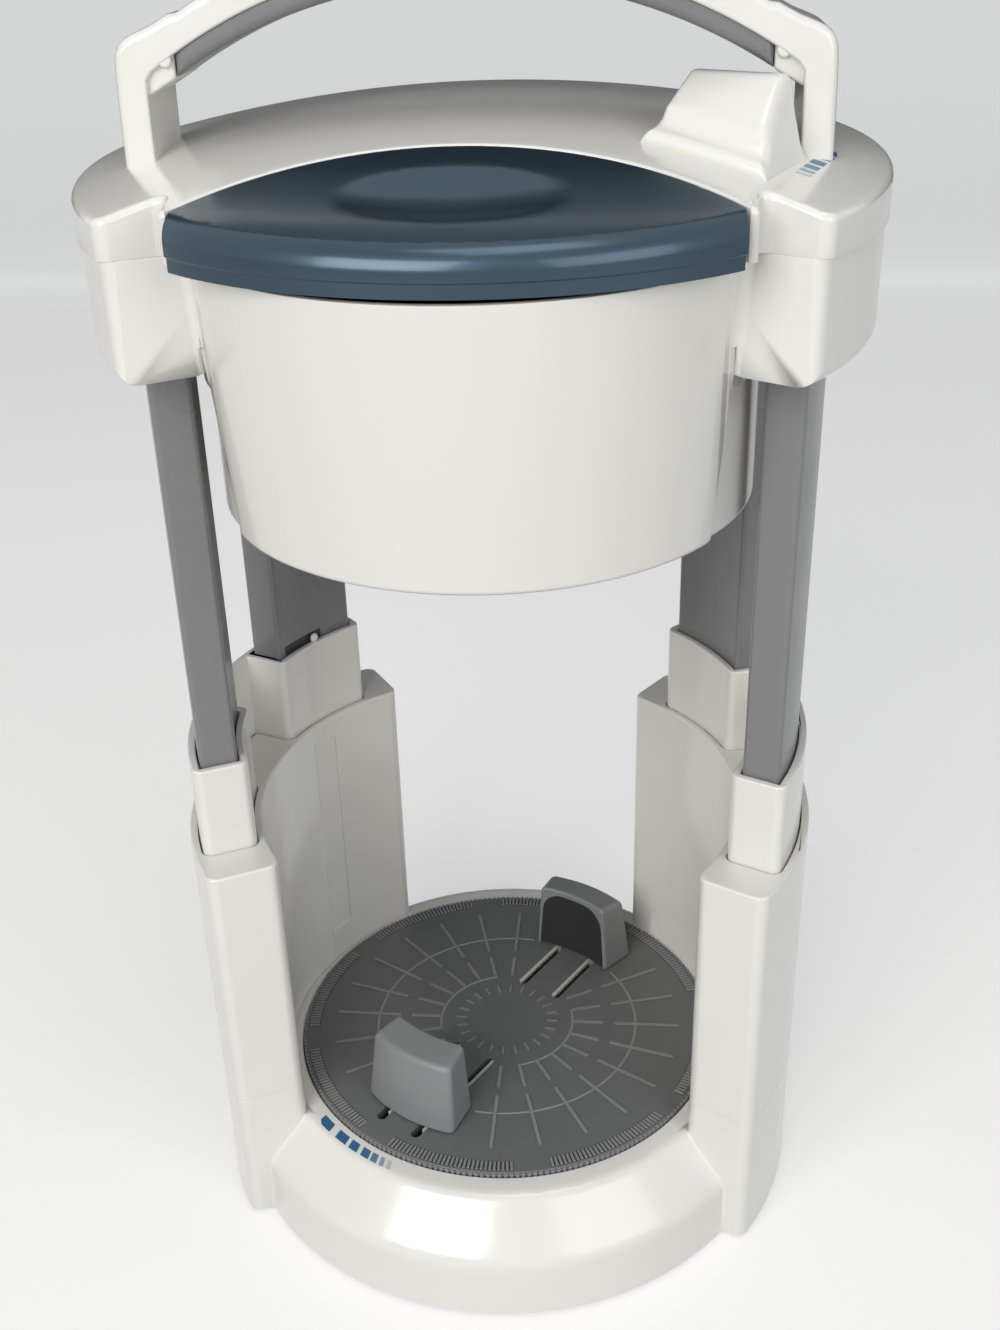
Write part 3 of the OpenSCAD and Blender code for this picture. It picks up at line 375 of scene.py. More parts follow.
def from_column_axis(m):
    """Distance from the columns' common axis, and the angle from the side's X axis in degrees."""
    return math.hypot(m.x, m.y - COLUMN_Y), math.degrees(math.atan2(m.y - COLUMN_Y, abs(m.x)))


def in_sleeve_opening(m):
    radius, turn = from_column_axis(m)
    return 81.2 < radius < 102.4 and -29.5 < turn < 52


for side in ("left", "right"):
    softened(side + "_casing",
             (0.9, lambda m, e: at_height(CASING_TOP)(m, e) and not in_sleeve_opening(m), 4),
             (0.5, lambda m, e: at_height(CASING_TOP)(m, e) and in_sleeve_opening(m), 3),
             (0.3, lambda m, e: at_height(BASE_TOP)(m, e) and not in_sleeve_opening(m), 2))
    softened(side + "_sleeve", (0.6, at_height(SLEEVE_TOP), 3))

# %% [markdown]
# ## Base
# The columns grow out of the round apron with a small hollow radius. A bevel on an edge whose faces meet
# inwards fills the corner, so the same operator makes that fillet.

# %% Base tub and legs
APRON_TOP, LEG_FOOT = 39, 156


def column_foot(m, e):
    return not e.is_convex and 2 < m.z < 45 and from_column_axis(m)[0] > 81.5


softened("base_tub",
         (0.8, column_foot, 3),
         (0.3, at_height(BASE_TOP), 2),
         (0.5, lambda m, e: at_height(APRON_TOP)(m, e) and from_centre(m) < 77, 3))

for name in ("left_front_leg", "left_rear_leg", "right_front_leg", "right_rear_leg"):
    softened(name, (0.3, at_height(LEG_FOOT), 2))

# %% [markdown]
# ## Head housing
# The housing's drum and its two ears are one moulding. A hollow radius fills the corner between an
# ear's slanted front and the drum, and the drum's lower rim is rounded. The ears curl in underneath with
# a smaller radius than the solid has, so those points are moved. Where the housing meets the cover it is
# cut level and filled again, which leaves one clean loop of edges to bevel.

# %% Head housing
EAR_Z, DRUM_Z, LEDGE_Z, RIM_Z, SEAM_Z = 305, 257, 335.5, 336.96, 337
HEAD_R, CAD_CURL, CURL, REAR_FLAT_Y = 110.5, 9, 4.5, 102.9
# The direction that the left ear's front faces, and how far along it that front lies.
EAR_FACING, EAR_FACE_AT = (-0.503, -0.864), 12.94


def ear_valley(m, e):
    return not e.is_convex and EAR_Z - 1 < m.z < SEAM_Z + 1 and abs(direction(e).z) > 0.8 \
        and 68 < abs(m.x) < 71.5 and m.y < -54


def tighten_curl(mesh):
    """Redraws the quarter round under the ears' outer edge with a smaller radius, in place."""
    for vert in mesh.verts:
        x, y, z = vert.co / MM
        radius = math.hypot(x, y)
        if EAR_Z - 0.01 < z < EAR_Z + CAD_CURL and radius > HEAD_R - CAD_CURL - 0.2:
            turn = math.asin(min(1, (EAR_Z + CAD_CURL - z) / CAD_CURL))
            inset = CAD_CURL * (1 - math.cos(turn))
            if abs(radius - (HEAD_R - inset)) < 0.35 and y < 101:
                grow = (radius + (CAD_CURL - CURL) * (1 - math.cos(turn))) / radius
                moved = Vector((x * grow, y * grow, EAR_Z + CURL * (1 - math.sin(turn))))
                facing = Vector((math.copysign(EAR_FACING[0], x), EAR_FACING[1], 0))
                if abs(vert.co.dot(facing) / MM - EAR_FACE_AT) < 0.1:
                    moved += facing * (EAR_FACE_AT - moved.dot(facing))
                moved.y = min(moved.y, REAR_FLAT_Y)
                vert.co = moved * MM


def reshape_head(mesh):
    """Trims the messy rim at the parting line to one clean loop, and redraws the ears' lower curl."""
    cut = bmesh.ops.bisect_plane(mesh, geom=everything(mesh), dist=1e-7, plane_co=(0, 0, RIM_Z * MM),
                                 plane_no=(0, 0, 1), clear_outer=True)
    rim = [e for e in cut["geom_cut"] if isinstance(e, bmesh.types.BMEdge)]
    bmesh.ops.triangle_fill(mesh, use_beauty=True, use_dissolve=False, edges=rim)
    tighten_curl(mesh)


softened("head_housing",
         (2.6, ear_valley, 4),
         (1.8, lambda m, e: at_height(DRUM_Z)(m, e) and from_centre(m) > 68, 4),
         (0.35, at_height(RIM_Z), 2),
         (0.4, at_height(LEDGE_Z), 2), reshape=reshape_head)

# %% [markdown]
# ## Curved lids
# The cover and the power pad share one large ball-shaped crown. Bevelling a curved, triangulated face
# leaves ragged edges, so these two are made flat first: the CAD solid is cut at one height, the cut's
# outline is filled and extruded, and its upper edge is bevelled while the top is still a plane. A grid
# of cuts then gives the top enough points, and every point is lifted to the height of the crown.

# %% Outline of a cut, and a grid of cuts
CROWN_TOP, CROWN_R, CROWN_Y = 365, 434, 20
FLAT_TOP = 352


def crown(x, y):
    return CROWN_TOP - CROWN_R + math.sqrt(CROWN_R ** 2 - x ** 2 - (y - CROWN_Y) ** 2)


def face_up(mesh):
    """Makes a flat sheet look up."""
    bmesh.ops.recalc_face_normals(mesh, faces=mesh.faces)
    if mesh.faces[0].normal.z < 0:
        bmesh.ops.reverse_faces(mesh, faces=mesh.faces)


def outline(node, z):
    """A flat face with the outline of the node's longest cut at height z."""
    mesh = merged_copy(node)
    bmesh.ops.bisect_plane(mesh, geom=everything(mesh), plane_co=(0, 0, z * MM), plane_no=(0, 0, 1),
                           clear_inner=True, clear_outer=True)
    bmesh.ops.remove_doubles(mesh, verts=mesh.verts, dist=0.02 * MM)
    loops, left = [], set(mesh.edges)
    while left:
        loop, ends = [], [left.pop()]
        while ends:
            edge = ends.pop()
            loop.append(edge)
            for vert in edge.verts:
                for other in vert.link_edges:
                    if other in left:
                        left.remove(other)
                        ends.append(other)
        loops.append(loop)
    longest = max(loops, key=lambda loop: sum(e.calc_length() for e in loop))
    others = {v for loop in loops if loop is not longest for e in loop for v in e.verts}
    bmesh.ops.delete(mesh, geom=list(others), context="VERTS")
    bmesh.ops.remove_doubles(mesh, verts=mesh.verts, dist=0.33 * MM)
    bmesh.ops.contextual_create(mesh, geom=mesh.edges[:])
    bmesh.ops.dissolve_limit(mesh, angle_limit=math.radians(0.3), verts=mesh.verts, edges=mesh.edges)
    face_up(mesh)
    return mesh


def raise_face(mesh, face, height):
    made = bmesh.ops.extrude_face_region(mesh, geom=[face])
    verts = [g for g in made["geom"] if isinstance(g, bmesh.types.BMVert)]
    bmesh.ops.translate(mesh, vec=(0, 0, height * MM), verts=verts)


def grid_cuts(mesh, step, low, high, axes=(0, 1)):
    """Cuts the mesh with planes step apart, square to each of the axes."""
    for axis in axes:
        normal = [0, 0, 0]
        normal[axis] = 1
        place = low[axis] + step / 2
        while place < high[axis]:
            at = [0, 0, 0]
            at[axis] = place * MM
            bmesh.ops.bisect_plane(mesh, geom=everything(mesh), dist=1e-7, plane_co=at, plane_no=normal)
            place += step


def lift_to(mesh, height, start):
    """Moves the flat top at FLAT_TOP to height(x, y). Points under start stay, and the wall stretches."""
    for vert in mesh.verts:
        x, y, z = vert.co / MM
        rise = height(x, y) - FLAT_TOP
        blend = min(1, max(0, (z - start) / (FLAT_TOP - 5 - start)))
        vert.co.z += rise * blend * MM


print("crown height in mm:", crown(0, CROWN_Y))

# %% [markdown]
# ## Top cover
# The cover's upper edge is soft on the outside and crisp round the pad's opening. Underneath it is
# hollow, because the pad, its springs and the lever's stem move there.

# %% Top cover
LENS_Y, LENS_R, PAD_TIP, PAD_GAP = -147.6, 104.6, 69.5, 0.6
LEVER_AT, LEVER_PUSH_AZ, LEVER_FACE_AZ, LEVER_TRAVEL = (62, -34), 68.5, 59.8, 5


def beside_pad(m):
    return math.hypot(m.x, m.y - LENS_Y) < LENS_R + PAD_GAP + 0.4 and abs(m.x) < PAD_TIP + PAD_GAP + 0.3


COVER_CUT_Z, WALL = 341, 2.3
# The corners of the strip beside each tip of the pad: rounding radius, x and y.
STRIP_CORNERS = ((1.6, 72.5, -69.5), (5.0, 72.5, -57.15))
# The lever's hole reaches this far before its place, past its travel, and to each side.
HOLE_BACK, HOLE_AHEAD, HOLE_SIDE = 4, 4 + LEVER_TRAVEL, 5


def top_cover_piece():
    mesh = outline("top_cover", COVER_CUT_Z)
    for vert in mesh.verts:
        vert.co.z = SEAM_Z * MM
    for radius, x, y in STRIP_CORNERS:
        near = [v for v in mesh.verts if math.hypot(abs(v.co.x) / MM - x, v.co.y / MM - y) < 0.6]
        bmesh.ops.bevel(mesh, geom=near, offset=radius * MM, offset_type="OFFSET", segments=4, profile=0.5,
                        affect="VERTICES", clamp_overlap=False, material=-1)
    mesh.faces.ensure_lookup_table()
    raise_face(mesh, mesh.faces[0], FLAT_TOP - SEAM_Z)
    bmesh.ops.recalc_face_normals(mesh, faces=mesh.faces)
    top = at_height(FLAT_TOP)
    round_off(mesh, 1.7, lambda m, e: top(m, e) and not beside_pad(m), 4, angle=60)
    round_off(mesh, 0.7, lambda m, e: abs(m.z - FLAT_TOP) < 0.05 and beside_pad(m), 3, angle=60)
    underside = [f for f in mesh.faces if f.calc_center_median().z < (SEAM_Z + 0.1) * MM]
    bmesh.ops.delete(mesh, geom=underside, context="FACES")
    grid_cuts(mesh, 5, (-114, -72), (114, 106))
    turn = math.radians(LEVER_PUSH_AZ)
    ahead = Vector((math.cos(turn), math.sin(turn), 0))
    aside = Vector((-math.sin(turn), math.cos(turn), 0))
    centre = Vector((*LEVER_AT, 0)) * MM
    for way, far in ((ahead, -HOLE_BACK), (ahead, HOLE_AHEAD), (aside, -HOLE_SIDE), (aside, HOLE_SIDE)):
        bmesh.ops.bisect_plane(mesh, geom=everything(mesh), dist=1e-7,
                               plane_co=centre + way * far * MM, plane_no=way)
    hole = []
    for face in mesh.faces:
        place = (face.calc_center_median() - centre) / MM
        within = -HOLE_BACK < place.dot(ahead) < HOLE_AHEAD and abs(place.dot(aside)) < HOLE_SIDE
        if face.normal.z > 0.9 and within:
            hole.append(face)
    bmesh.ops.delete(mesh, geom=hole, context="FACES")
    lift_to(mesh, crown, SEAM_Z + 1)
    shell = as_piece(mesh, "cover_shell", "head", white, ("top_cover",))
    wall = shell.modifiers.new("wall", "SOLIDIFY")
    wall.thickness, wall.offset = WALL * MM, -1
    shell.modifiers.move(1, 0)
    print("cover faces:", len(shell.data.polygons), "lever hole faces:", len(hole))


top_cover_piece()

# %% [markdown]
# ## Power pad
# The pad that the hand presses has a broad rounded front edge, a lower band set back by half a
# millimetre, and a shallow dish for the fingers. The dish is the lower side of a barrel, so the pad's
# height at a point is whichever of crown and barrel is lower.

# %% Power pad
PAD_STEP_Z, PAD_R, BAND_INSET, PAD_ROLL, TIP_ROLL = 340.6, 103, 0.45, 4.6, 0.8
DISH_Y, DISH_AXIS_Z, DISH_R, DISH_ARC, DISH_HALF = -79.4, 384.3, 34, 134, 44
DISH_SOFT = 0.35
FRONT_STEPS, REAR_STEPS, ROLL_STEPS = 96, 80, 9


def pad_height(x, y):
    """Height of the pad's top, with crown and dish blended over DISH_SOFT where they meet."""
    height = crown(x, y) - 0.05
    if abs(x) < DISH_HALF:
        reach = DISH_R - DISH_ARC + math.sqrt(DISH_ARC ** 2 - x ** 2)
        under = reach ** 2 - (y - DISH_Y) ** 2
        if under > 0:
            dish = DISH_AXIS_Z - math.sqrt(under)
            gap = max(0, DISH_SOFT - abs(height - dish)) / DISH_SOFT
            height = min(height, dish) - gap * gap * DISH_SOFT / 4
    return height


def lens_ring(inset, tip_inset):
    """Points round the pad's outline: front arc, right tip, rear arc, left tip."""
    ring = []
    for radius, centre_y, way, steps in ((PAD_R - inset, 0, -1, FRONT_STEPS),
                                         (LENS_R - tip_inset, LENS_Y, 1, REAR_STEPS)):
        limit = math.asin((PAD_TIP - tip_inset) / radius)
        for k in range(steps + 1):
            turn = way * (limit - 2 * limit * k / steps)
            ring.append((radius * math.sin(turn), centre_y + way * radius * math.cos(turn)))
    return ring


def power_pad_piece():
    """Rings from the lower band up over the rolled edge, closed below, with a cut grid as the top."""
    levels = [(BAND_INSET, BAND_INSET, SEAM_Z - 0.25), (BAND_INSET, BAND_INSET, PAD_STEP_Z - 0.5),
              (0, 0, PAD_STEP_Z), (0, 0, FLAT_TOP - PAD_ROLL)]
    for k in range(1, ROLL_STEPS + 1):
        turn = math.pi / 2 * k / ROLL_STEPS
        back = 1 - math.cos(turn)
        levels.append((PAD_ROLL * back, TIP_ROLL * back, FLAT_TOP - PAD_ROLL + PAD_ROLL * math.sin(turn)))
    mesh = bmesh.new()
    loops = [[mesh.verts.new(Vector((x, y, z)) * MM) for x, y in lens_ring(inset, tip)]
             for inset, tip, z in levels]
    join_rings(mesh, loops)
    mesh.faces.new(loops[0])
    bmesh.ops.recalc_face_normals(mesh, faces=mesh.faces)
    top = bmesh.new()
    top.faces.new([top.verts.new(v.co) for v in loops[-1]])
    grid_cuts(top, 2.0, (-71, -104), (71, -42))
    spare = bpy.data.meshes.new("pad_top")
    top.to_mesh(spare)
    top.free()
    mesh.from_mesh(spare)
    bmesh.ops.remove_doubles(mesh, verts=mesh.verts, dist=0.002 * MM)
    bmesh.ops.recalc_face_normals(mesh, faces=mesh.faces)
    lift_to(mesh, pad_height, PAD_STEP_Z + 1)
    pad = as_piece(mesh, "power_pad_shell", "pad", pad_blue, ("power_pad",))
    print("pad faces:", len(pad.data.polygons))


power_pad_piece()

# %% [markdown]
# ## Carrying handle
# The handle is a white arch with a grey grip clipped under it. The grip stops short of the posts, and a
# white block with a small peg fills the corner on each side, where the two mouldings snap together.

# %% Handle frame and grip
HANDLE_Y, HANDLE_W, HANDLE_X, HANDLE_TOP = -12, 27, 93.5, 411
POST_T, ARCH_R, GRIP_X, GRIP_T = 9, 148, 77, 8
OUTER_ROUND, INNER_ROUND = 2.3, 0.8


def on_side_face(width):
    return lambda m, e: abs(abs(m.y - HANDLE_Y) - width / 2) < 0.05 and abs(direction(e).y) < 0.01


def arch(z_top, x):
    return z_top - ARCH_R + math.sqrt(ARCH_R ** 2 - x ** 2)


def handle_frame():
    """The arch meets each post over a flatter shoulder, and the post leans in a little."""
    shoulder = [(77.5, 390.2), (80.0, 388.9), (82.5, 387.6), (85.0, 386.6), (87.5, 385.6), (89.4, 384.7),
                (90.9, 383.5), (92.0, 381.9), (92.7, 379.8), (93.0, 376.0), (93.2, 370.0), (93.4, 362.0),
                (HANDLE_X, 346.0)]
    outer = [(x, arch(HANDLE_TOP, x)) for x in range(0, 76, 3)] + shoulder
    inner = [(84.8, 346.0), (84.8, 362.0), (84.6, 374.5)]
    inner += [(x, arch(HANDLE_TOP - POST_T, x)) for x in (83, 80, 77, 74)]
    inner += [(x, arch(HANDLE_TOP - POST_T, x)) for x in range(71, -1, -3)]
    right = [(p, OUTER_ROUND) for p in outer] + [(p, INNER_ROUND) for p in inner]
    left = [((-x, z), r) for (x, z), r in reversed(right) if x > 0]
    profile, radii = zip(*reversed(right + left))
    span = (HANDLE_Y - HANDLE_W / 2, HANDLE_Y + HANDLE_W / 2)
    mesh = rounded_prism(profile, radii, span, lambda u, w, v: (u, v, w))
    as_piece(mesh, "handle_frame_soft", "head", white, ("handle_frame",), sharp=50)


handle_frame()
softened("handle_grip", (2.6, on_side_face(HANDLE_W - 3), 5), angle=40)

# %% Snap blocks
BLOCK_HALF_W, BLOCK_GAP, BLOCK_SINK, BLOCK_RISE, BLOCK_DROP = 11.4, 0.15, 0.6, 2.5, 0.8
PEG_X, PEG_Z, PEG_R, PEG_LONG, PEG_OUT = 79.3, 379.2, 1.9, 2.4, 0.5


def snap_block(side):
    """The white block between a post and the grip's end, with its peg."""
    mesh = bmesh.new()
    bmesh.ops.create_cube(mesh, size=1)
    width = HANDLE_X - POST_T - GRIP_X + BLOCK_SINK
    z_top = HANDLE_TOP - POST_T + BLOCK_RISE
    for vert in mesh.verts:
        x = GRIP_X + BLOCK_GAP + (vert.co.x + 0.5) * width
        lower = arch(z_top - GRIP_T + BLOCK_SINK, x) - (0 if vert.co.x > 0 else BLOCK_DROP)
        z = arch(z_top - 0.05, x) if vert.co.z > 0 else lower
        vert.co = Vector((side * x, HANDLE_Y + vert.co.y * 2 * BLOCK_HALF_W, z)) * MM
    bmesh.ops.recalc_face_normals(mesh, faces=mesh.faces)
    round_off(mesh, 0.9, lambda m, e: m.z < 377.5 or abs(m.x) < 78, 3)
    spare = bpy.data.meshes.new("snap_block")
    mesh.to_mesh(spare)
    mesh.free()
    mesh = bmesh.new()
    bmesh.ops.create_cone(mesh, cap_ends=True, segments=20, radius1=PEG_R * MM, radius2=PEG_R * MM,
                          depth=PEG_LONG * MM)
    round_off(mesh, 0.8, lambda m, e: m.z > 1, 3, angle=60)
    at = Vector((side * PEG_X, HANDLE_Y - BLOCK_HALF_W - PEG_OUT, PEG_Z)) * MM
    place = Matrix.Translation(at) @ Matrix.Rotation(math.pi / 2, 4, "X")
    bmesh.ops.transform(mesh, matrix=place, verts=mesh.verts)
    mesh.from_mesh(spare)
    as_piece(mesh, "snap_block_" + ("right" if side > 0 else "left"), "head", white)


for side in (-1, 1):
    snap_block(side)
print("snap blocks: 2")

# %% [markdown]
# ## Release lever
# The lever is one moulding that sweeps up from a thin lip to a level top. Its side profile is drawn
# once and swept across, with both ends rounded over. Low points follow the crown of the cover, high ones
# lie level, and the side away from the middle leans in towards the top.

# %% Lever
LEVER_TOP, LEVER_RISE, LEVER_SPAN, LEVEL_START = 374.4, 13.4, 33.0, 6.0
# Each row is how far along the push, how far above the crown, and the rounding radius of both ends.
LEVER_SIDE = [
    (-9.2, -0.6, 0.5), (-9.9, 0.6, 0.9), (-9.9, 1.6, 1.1), (-9.4, 2.6, 1.2), (-8.5, 3.3, 1.3),
    (-7.5, 3.6, 1.6), (-6.6, 3.9, 2.0), (-5.6, 4.5, 2.2), (-4.6, 5.4, 2.3), (-3.7, 6.3, 2.3),
    (-2.9, 7.2, 2.3), (-2.4, 7.9, 2.3), (-0.8, 8.6, 2.4), (1.5, 9.6, 2.4), (4.0, 10.7, 2.4),
    (6.2, 11.6, 2.4), (7.8, 12.3, 2.4), (9.0, 12.9, 2.3), (10.2, 13.3, 2.1), (11.6, 13.4, 2.0),
    (13.0, 13.3, 2.0), (14.0, 12.8, 2.0), (14.7, 11.6, 2.0), (15.2, 9.0, 2.0), (15.9, 4.0, 1.8),
    (16.6, -0.6, 1.0)]
# Across the push: the outer side leans in and turns a little, and the inner side flares at its foot.
OUTER_SIDE, OUTER_LEAN, OUTER_TURN, LIP_REACH = -20.2, 6.2, 0.07, 9.5
INNER_SIDE, INNER_FLARE, FLARE_HIGH = 13.0, 2.6, 4.5


def lever_place(u, w, v):
    """The point at u along the push and w above the crown. v is 0 on the outer side, 1 on the inner."""
    up = max(0.0, min(1.0, w / LEVER_RISE))
    outer = OUTER_SIDE + OUTER_LEAN * up + OUTER_TURN * (u + LIP_REACH) * (1 - up)
    inner = INNER_SIDE + INNER_FLARE * max(0.0, 1 - w / FLARE_HIGH)
    aside = outer + (inner - outer) * v
    turned = Matrix.Rotation(math.radians(LEVER_FACE_AZ), 3, "Z") @ Vector((u, aside, 0))
    x, y = LEVER_AT[0] + turned.x, LEVER_AT[1] + turned.y
    level = min(1.0, max(0.0, (w - LEVEL_START) / (LEVER_RISE - LEVEL_START)))
    level = level * level * (3 - 2 * level)
    top = LEVER_TOP - LEVER_RISE + w
    return x, y, min(LEVER_TOP, (crown(x, y) + w) * (1 - level) + top * level)


def release_lever():
    profile = [(u, w) for u, w, radius in reversed(LEVER_SIDE)]
    radii = [radius for u, w, radius in reversed(LEVER_SIDE)]
    mesh = rounded_prism(profile, radii, (0.0, LEVER_SPAN),
                         lambda u, w, v: lever_place(u, w, v / LEVER_SPAN), middle_cuts=8)
    piece = as_piece(mesh, "release_lever_body", "lever", white, ("release_lever",),
                     sharp=50)
    print("lever faces:", len(piece.data.polygons))


release_lever()

# %% [markdown]
# ## Jaws
# A jaw is a thick block with soft shoulders. It is bowed in plan, so that its rubber face lies round a
# jar, and a dark rubber pad is let into that face. The block starts as a cube, is tapered, bevelled, cut
# into strips and then bent.

# %% Jaw block and pad
JAW_AZ, LID_AZ, BOW, BOW_STEP = 59.5, -43, 0.0098, 1.6
# Distances from the jar's axis: the block's face, and its back at the top and at the foot.
BLOCK_FACE, BLOCK_BACK, BLOCK_FOOT = 46.1, 58.2, 61.6
BACK_WIDER, BACK_LOWER = 1.17, 1.6
RUBBER_FACE, RUBBER_BACK, RUBBER_NARROWER, RUBBER_CORNER = 45.75, 47.2, 2.6, 7.5
RUBBER_LOW, RUBBER_DOWN = 0.6, 2.2
SLOT_OFF, ARM_SHIFT, ARM_AT, ARM_LONG, ARM_WIDE, ARM_HIGH, ARM_DOWN = 7.5, -0.55, 51, 10, 1.7, 4.8, 2.2
# For each kind of jaw: height of its foot, height and direction of the block, widths at foot and top.
JAR_KIND = (40.6, 27.4, 1, (32, 28.5))
LID_KIND = (261.6, 15, -1, (30, 26))


def bent(mesh, length):
    """Cuts a block drawn along Y into strips and bows it towards the axis at both ends."""
    grid_cuts(mesh, BOW_STEP, (0, -length / 2 - 0.3), (0, length / 2), axes=(1,))
    for vert in mesh.verts:
        vert.co.x -= BOW * (vert.co.y / MM) ** 2 * MM


def unit_cube(mesh):
    return bmesh.ops.create_cube(mesh, size=1)["verts"]


def put_jaw(mesh, turn, foot_z, up):
    """Moves a jaw drawn along X to its place, upside down where up is -1."""
    flip = Matrix.Diagonal((1, 1, up, 1))
    place = Matrix.Rotation(math.radians(turn), 4, "Z") @ Matrix.Translation((0, 0, foot_z * MM)) @ flip
    bmesh.ops.transform(mesh, matrix=place, verts=mesh.verts)
    bmesh.ops.recalc_face_normals(mesh, faces=mesh.faces)


def add_arms(mesh, up):
    """Two arms that reach through the slots to the carriage under the turntable or the lid carrier."""
    shift = ARM_SHIFT if up > 0 else 0
    for v in (-SLOT_OFF, SLOT_OFF):
        for vert in unit_cube(mesh):
            x = ARM_AT + vert.co.x * ARM_LONG
            y = v + vert.co.y * ARM_WIDE + shift
            vert.co = Vector((x, y, vert.co.z * ARM_HIGH - ARM_DOWN)) * MM


def jaw_block(name, body, turn, kind, stands_for):
    foot_z, height, up, wide = kind
    mesh = bmesh.new()
    for vert in unit_cube(mesh):
        top, face = vert.co.z > 0, vert.co.x < 0
        u = BLOCK_FACE if face else (BLOCK_BACK if top else BLOCK_FOOT)
        v = vert.co.y * (wide[1] if top else wide[0]) * (1.0 if face else BACK_WIDER)
        z = height - (0.0 if face else BACK_LOWER) if top else 0
        vert.co = Vector((u, v, z)) * MM
    bmesh.ops.recalc_face_normals(mesh, faces=mesh.faces)
    round_off(mesh, 2.0, lambda m, e: m.z > 0.5 and (m.x > 50 or abs(direction(e).x) > 0.8), 5, angle=30)
    round_off(mesh, 1.1, lambda m, e: m.z > 0.5, 3, angle=40)
    round_off(mesh, 0.7, lambda m, e: m.z < 0.05, 2, angle=40)
    bent(mesh, wide[0])
    add_arms(mesh, up)
    put_jaw(mesh, turn, foot_z, up)
    as_piece(mesh, name, body, jaw_grey, (stands_for,), sharp=45)


def jaw_pad(name, body, turn, kind, stands_for):
    foot_z, height, up, wide = kind
    mesh = bmesh.new()
    for vert in unit_cube(mesh):
        top = vert.co.z > 0
        u = RUBBER_FACE if vert.co.x < 0 else RUBBER_BACK
        v = vert.co.y * ((wide[1] if top else wide[0]) - RUBBER_NARROWER)
        z = height - RUBBER_DOWN if top else RUBBER_LOW
        vert.co = Vector((u, v, z)) * MM
    bmesh.ops.recalc_face_normals(mesh, faces=mesh.faces)
    round_off(mesh, RUBBER_CORNER, lambda m, e: m.z > height - 3 and abs(direction(e).x) > 0.9, 7, angle=30)
    round_off(mesh, 0.45, lambda m, e: m.x < RUBBER_FACE + 0.05, 2, angle=40)
    bent(mesh, wide[0] - RUBBER_NARROWER)
    put_jaw(mesh, turn, foot_z, up)
    as_piece(mesh, name, body, rubber, (stands_for,), sharp=45)


for name, turn in (("back", JAW_AZ), ("front", JAW_AZ + 180)):
    jaw_block(name + "_jaw_block", name + "_jaw", turn, JAR_KIND, name + "_jar_jaw")
    jaw_pad(name + "_jaw_rubber", name + "_jaw", turn, JAR_KIND, name + "_jar_pad")
for name, turn in (("right", LID_AZ), ("left", LID_AZ + 180)):
    jaw_block(name + "_lid_block", name + "_lid_gripper", turn, LID_KIND, name + "_lid_jaw")
    jaw_pad(name + "_lid_rubber", name + "_lid_gripper", turn, LID_KIND, name + "_lid_pad")
print("jaws: 4")

# %% [markdown]
# ## Turntable
# The turntable is a disc with raised bars, two slots for each jaw, a knurled rim and eight groups of
# grip ticks. The CAD disc already has the bars and slots, so it only gets tiny bevels. The ticks on
# near-black beds that paint the shade in their gaps, the knurling, the fine rings, the tops of the
# bars in a lighter grey that paints their highlight, and the rails in the slots, in a light grey that
# paints their glint, are too small for the solid, and are added here as thin pieces of their own.

# %% Turntable top
DECK_Z, TABLE_R, BAR_RISE = 40, 75, 0.4

softened("turntable",
         (0.16, lambda m, e: abs(m.z - DECK_Z - BAR_RISE) < 0.03, 2),
         (0.5, lambda m, e: at_height(DECK_Z)(m, e) and from_centre(m) > 74.5, 3),
         (0.25, lambda m, e: at_height(DECK_Z)(m, e) and from_centre(m) < 68 and e.is_convex, 2), angle=30)


def turn_verts(mesh, verts, degrees):
    bmesh.ops.rotate(mesh, verts=verts, cent=(0, 0, 0), matrix=Matrix.Rotation(math.radians(degrees), 3, "Z"))


def table_piece(mesh, name, finish, sharp=20):
    return as_piece(mesh, name, "jar_table", finish, sharp=sharp)


# %% Grip ticks
TICK_GROUPS, TICKS, FIRST_GROUP, HALF_GROUP, BED_MARGIN = 8, 31, 34, 17.1, 0.5
TICK_IN, TICK_OUT, TICK_WIDE, TICK_RISE, TICK_SLOPE = 70.1, 73.9, 0.95, 0.35, 0.12
BED_IN, BED_OUT, BED_RISE = 69.9, 74.0, 0.04


def tick(mesh, turn):
    """One low bar along a radius, with sloping sides and ends, open below."""
    made = unit_cube(mesh)
    for vert in made:
        top = 0 if vert.co.z < 0 else 1
        x = TICK_IN + TICK_SLOPE * top if vert.co.x < 0 else TICK_OUT - TICK_SLOPE * top
        vert.co = Vector((x, vert.co.y * (TICK_WIDE - 2 * TICK_SLOPE * top), DECK_Z + TICK_RISE * top)) * MM
    turn_verts(mesh, made, turn)
    bottom = [f for f in {f for v in made for f in v.link_faces} if f.normal.z < -0.5]
    bmesh.ops.delete(mesh, geom=bottom, context="FACES_ONLY")


def ring_plate(mesh, r0, r1, start, end, z, steps):
    """A flat ring sector, facing up."""
    rows = [[mesh.verts.new(Vector((r * math.cos(a), r * math.sin(a), z)) * MM) for r in (r0, r1)]
            for a in (math.radians(start + (end - start) * k / steps) for k in range(steps + 1))]
    for row, following in zip(rows, rows[1:]):
        mesh.faces.new((row[0], row[1], following[1], following[0]))


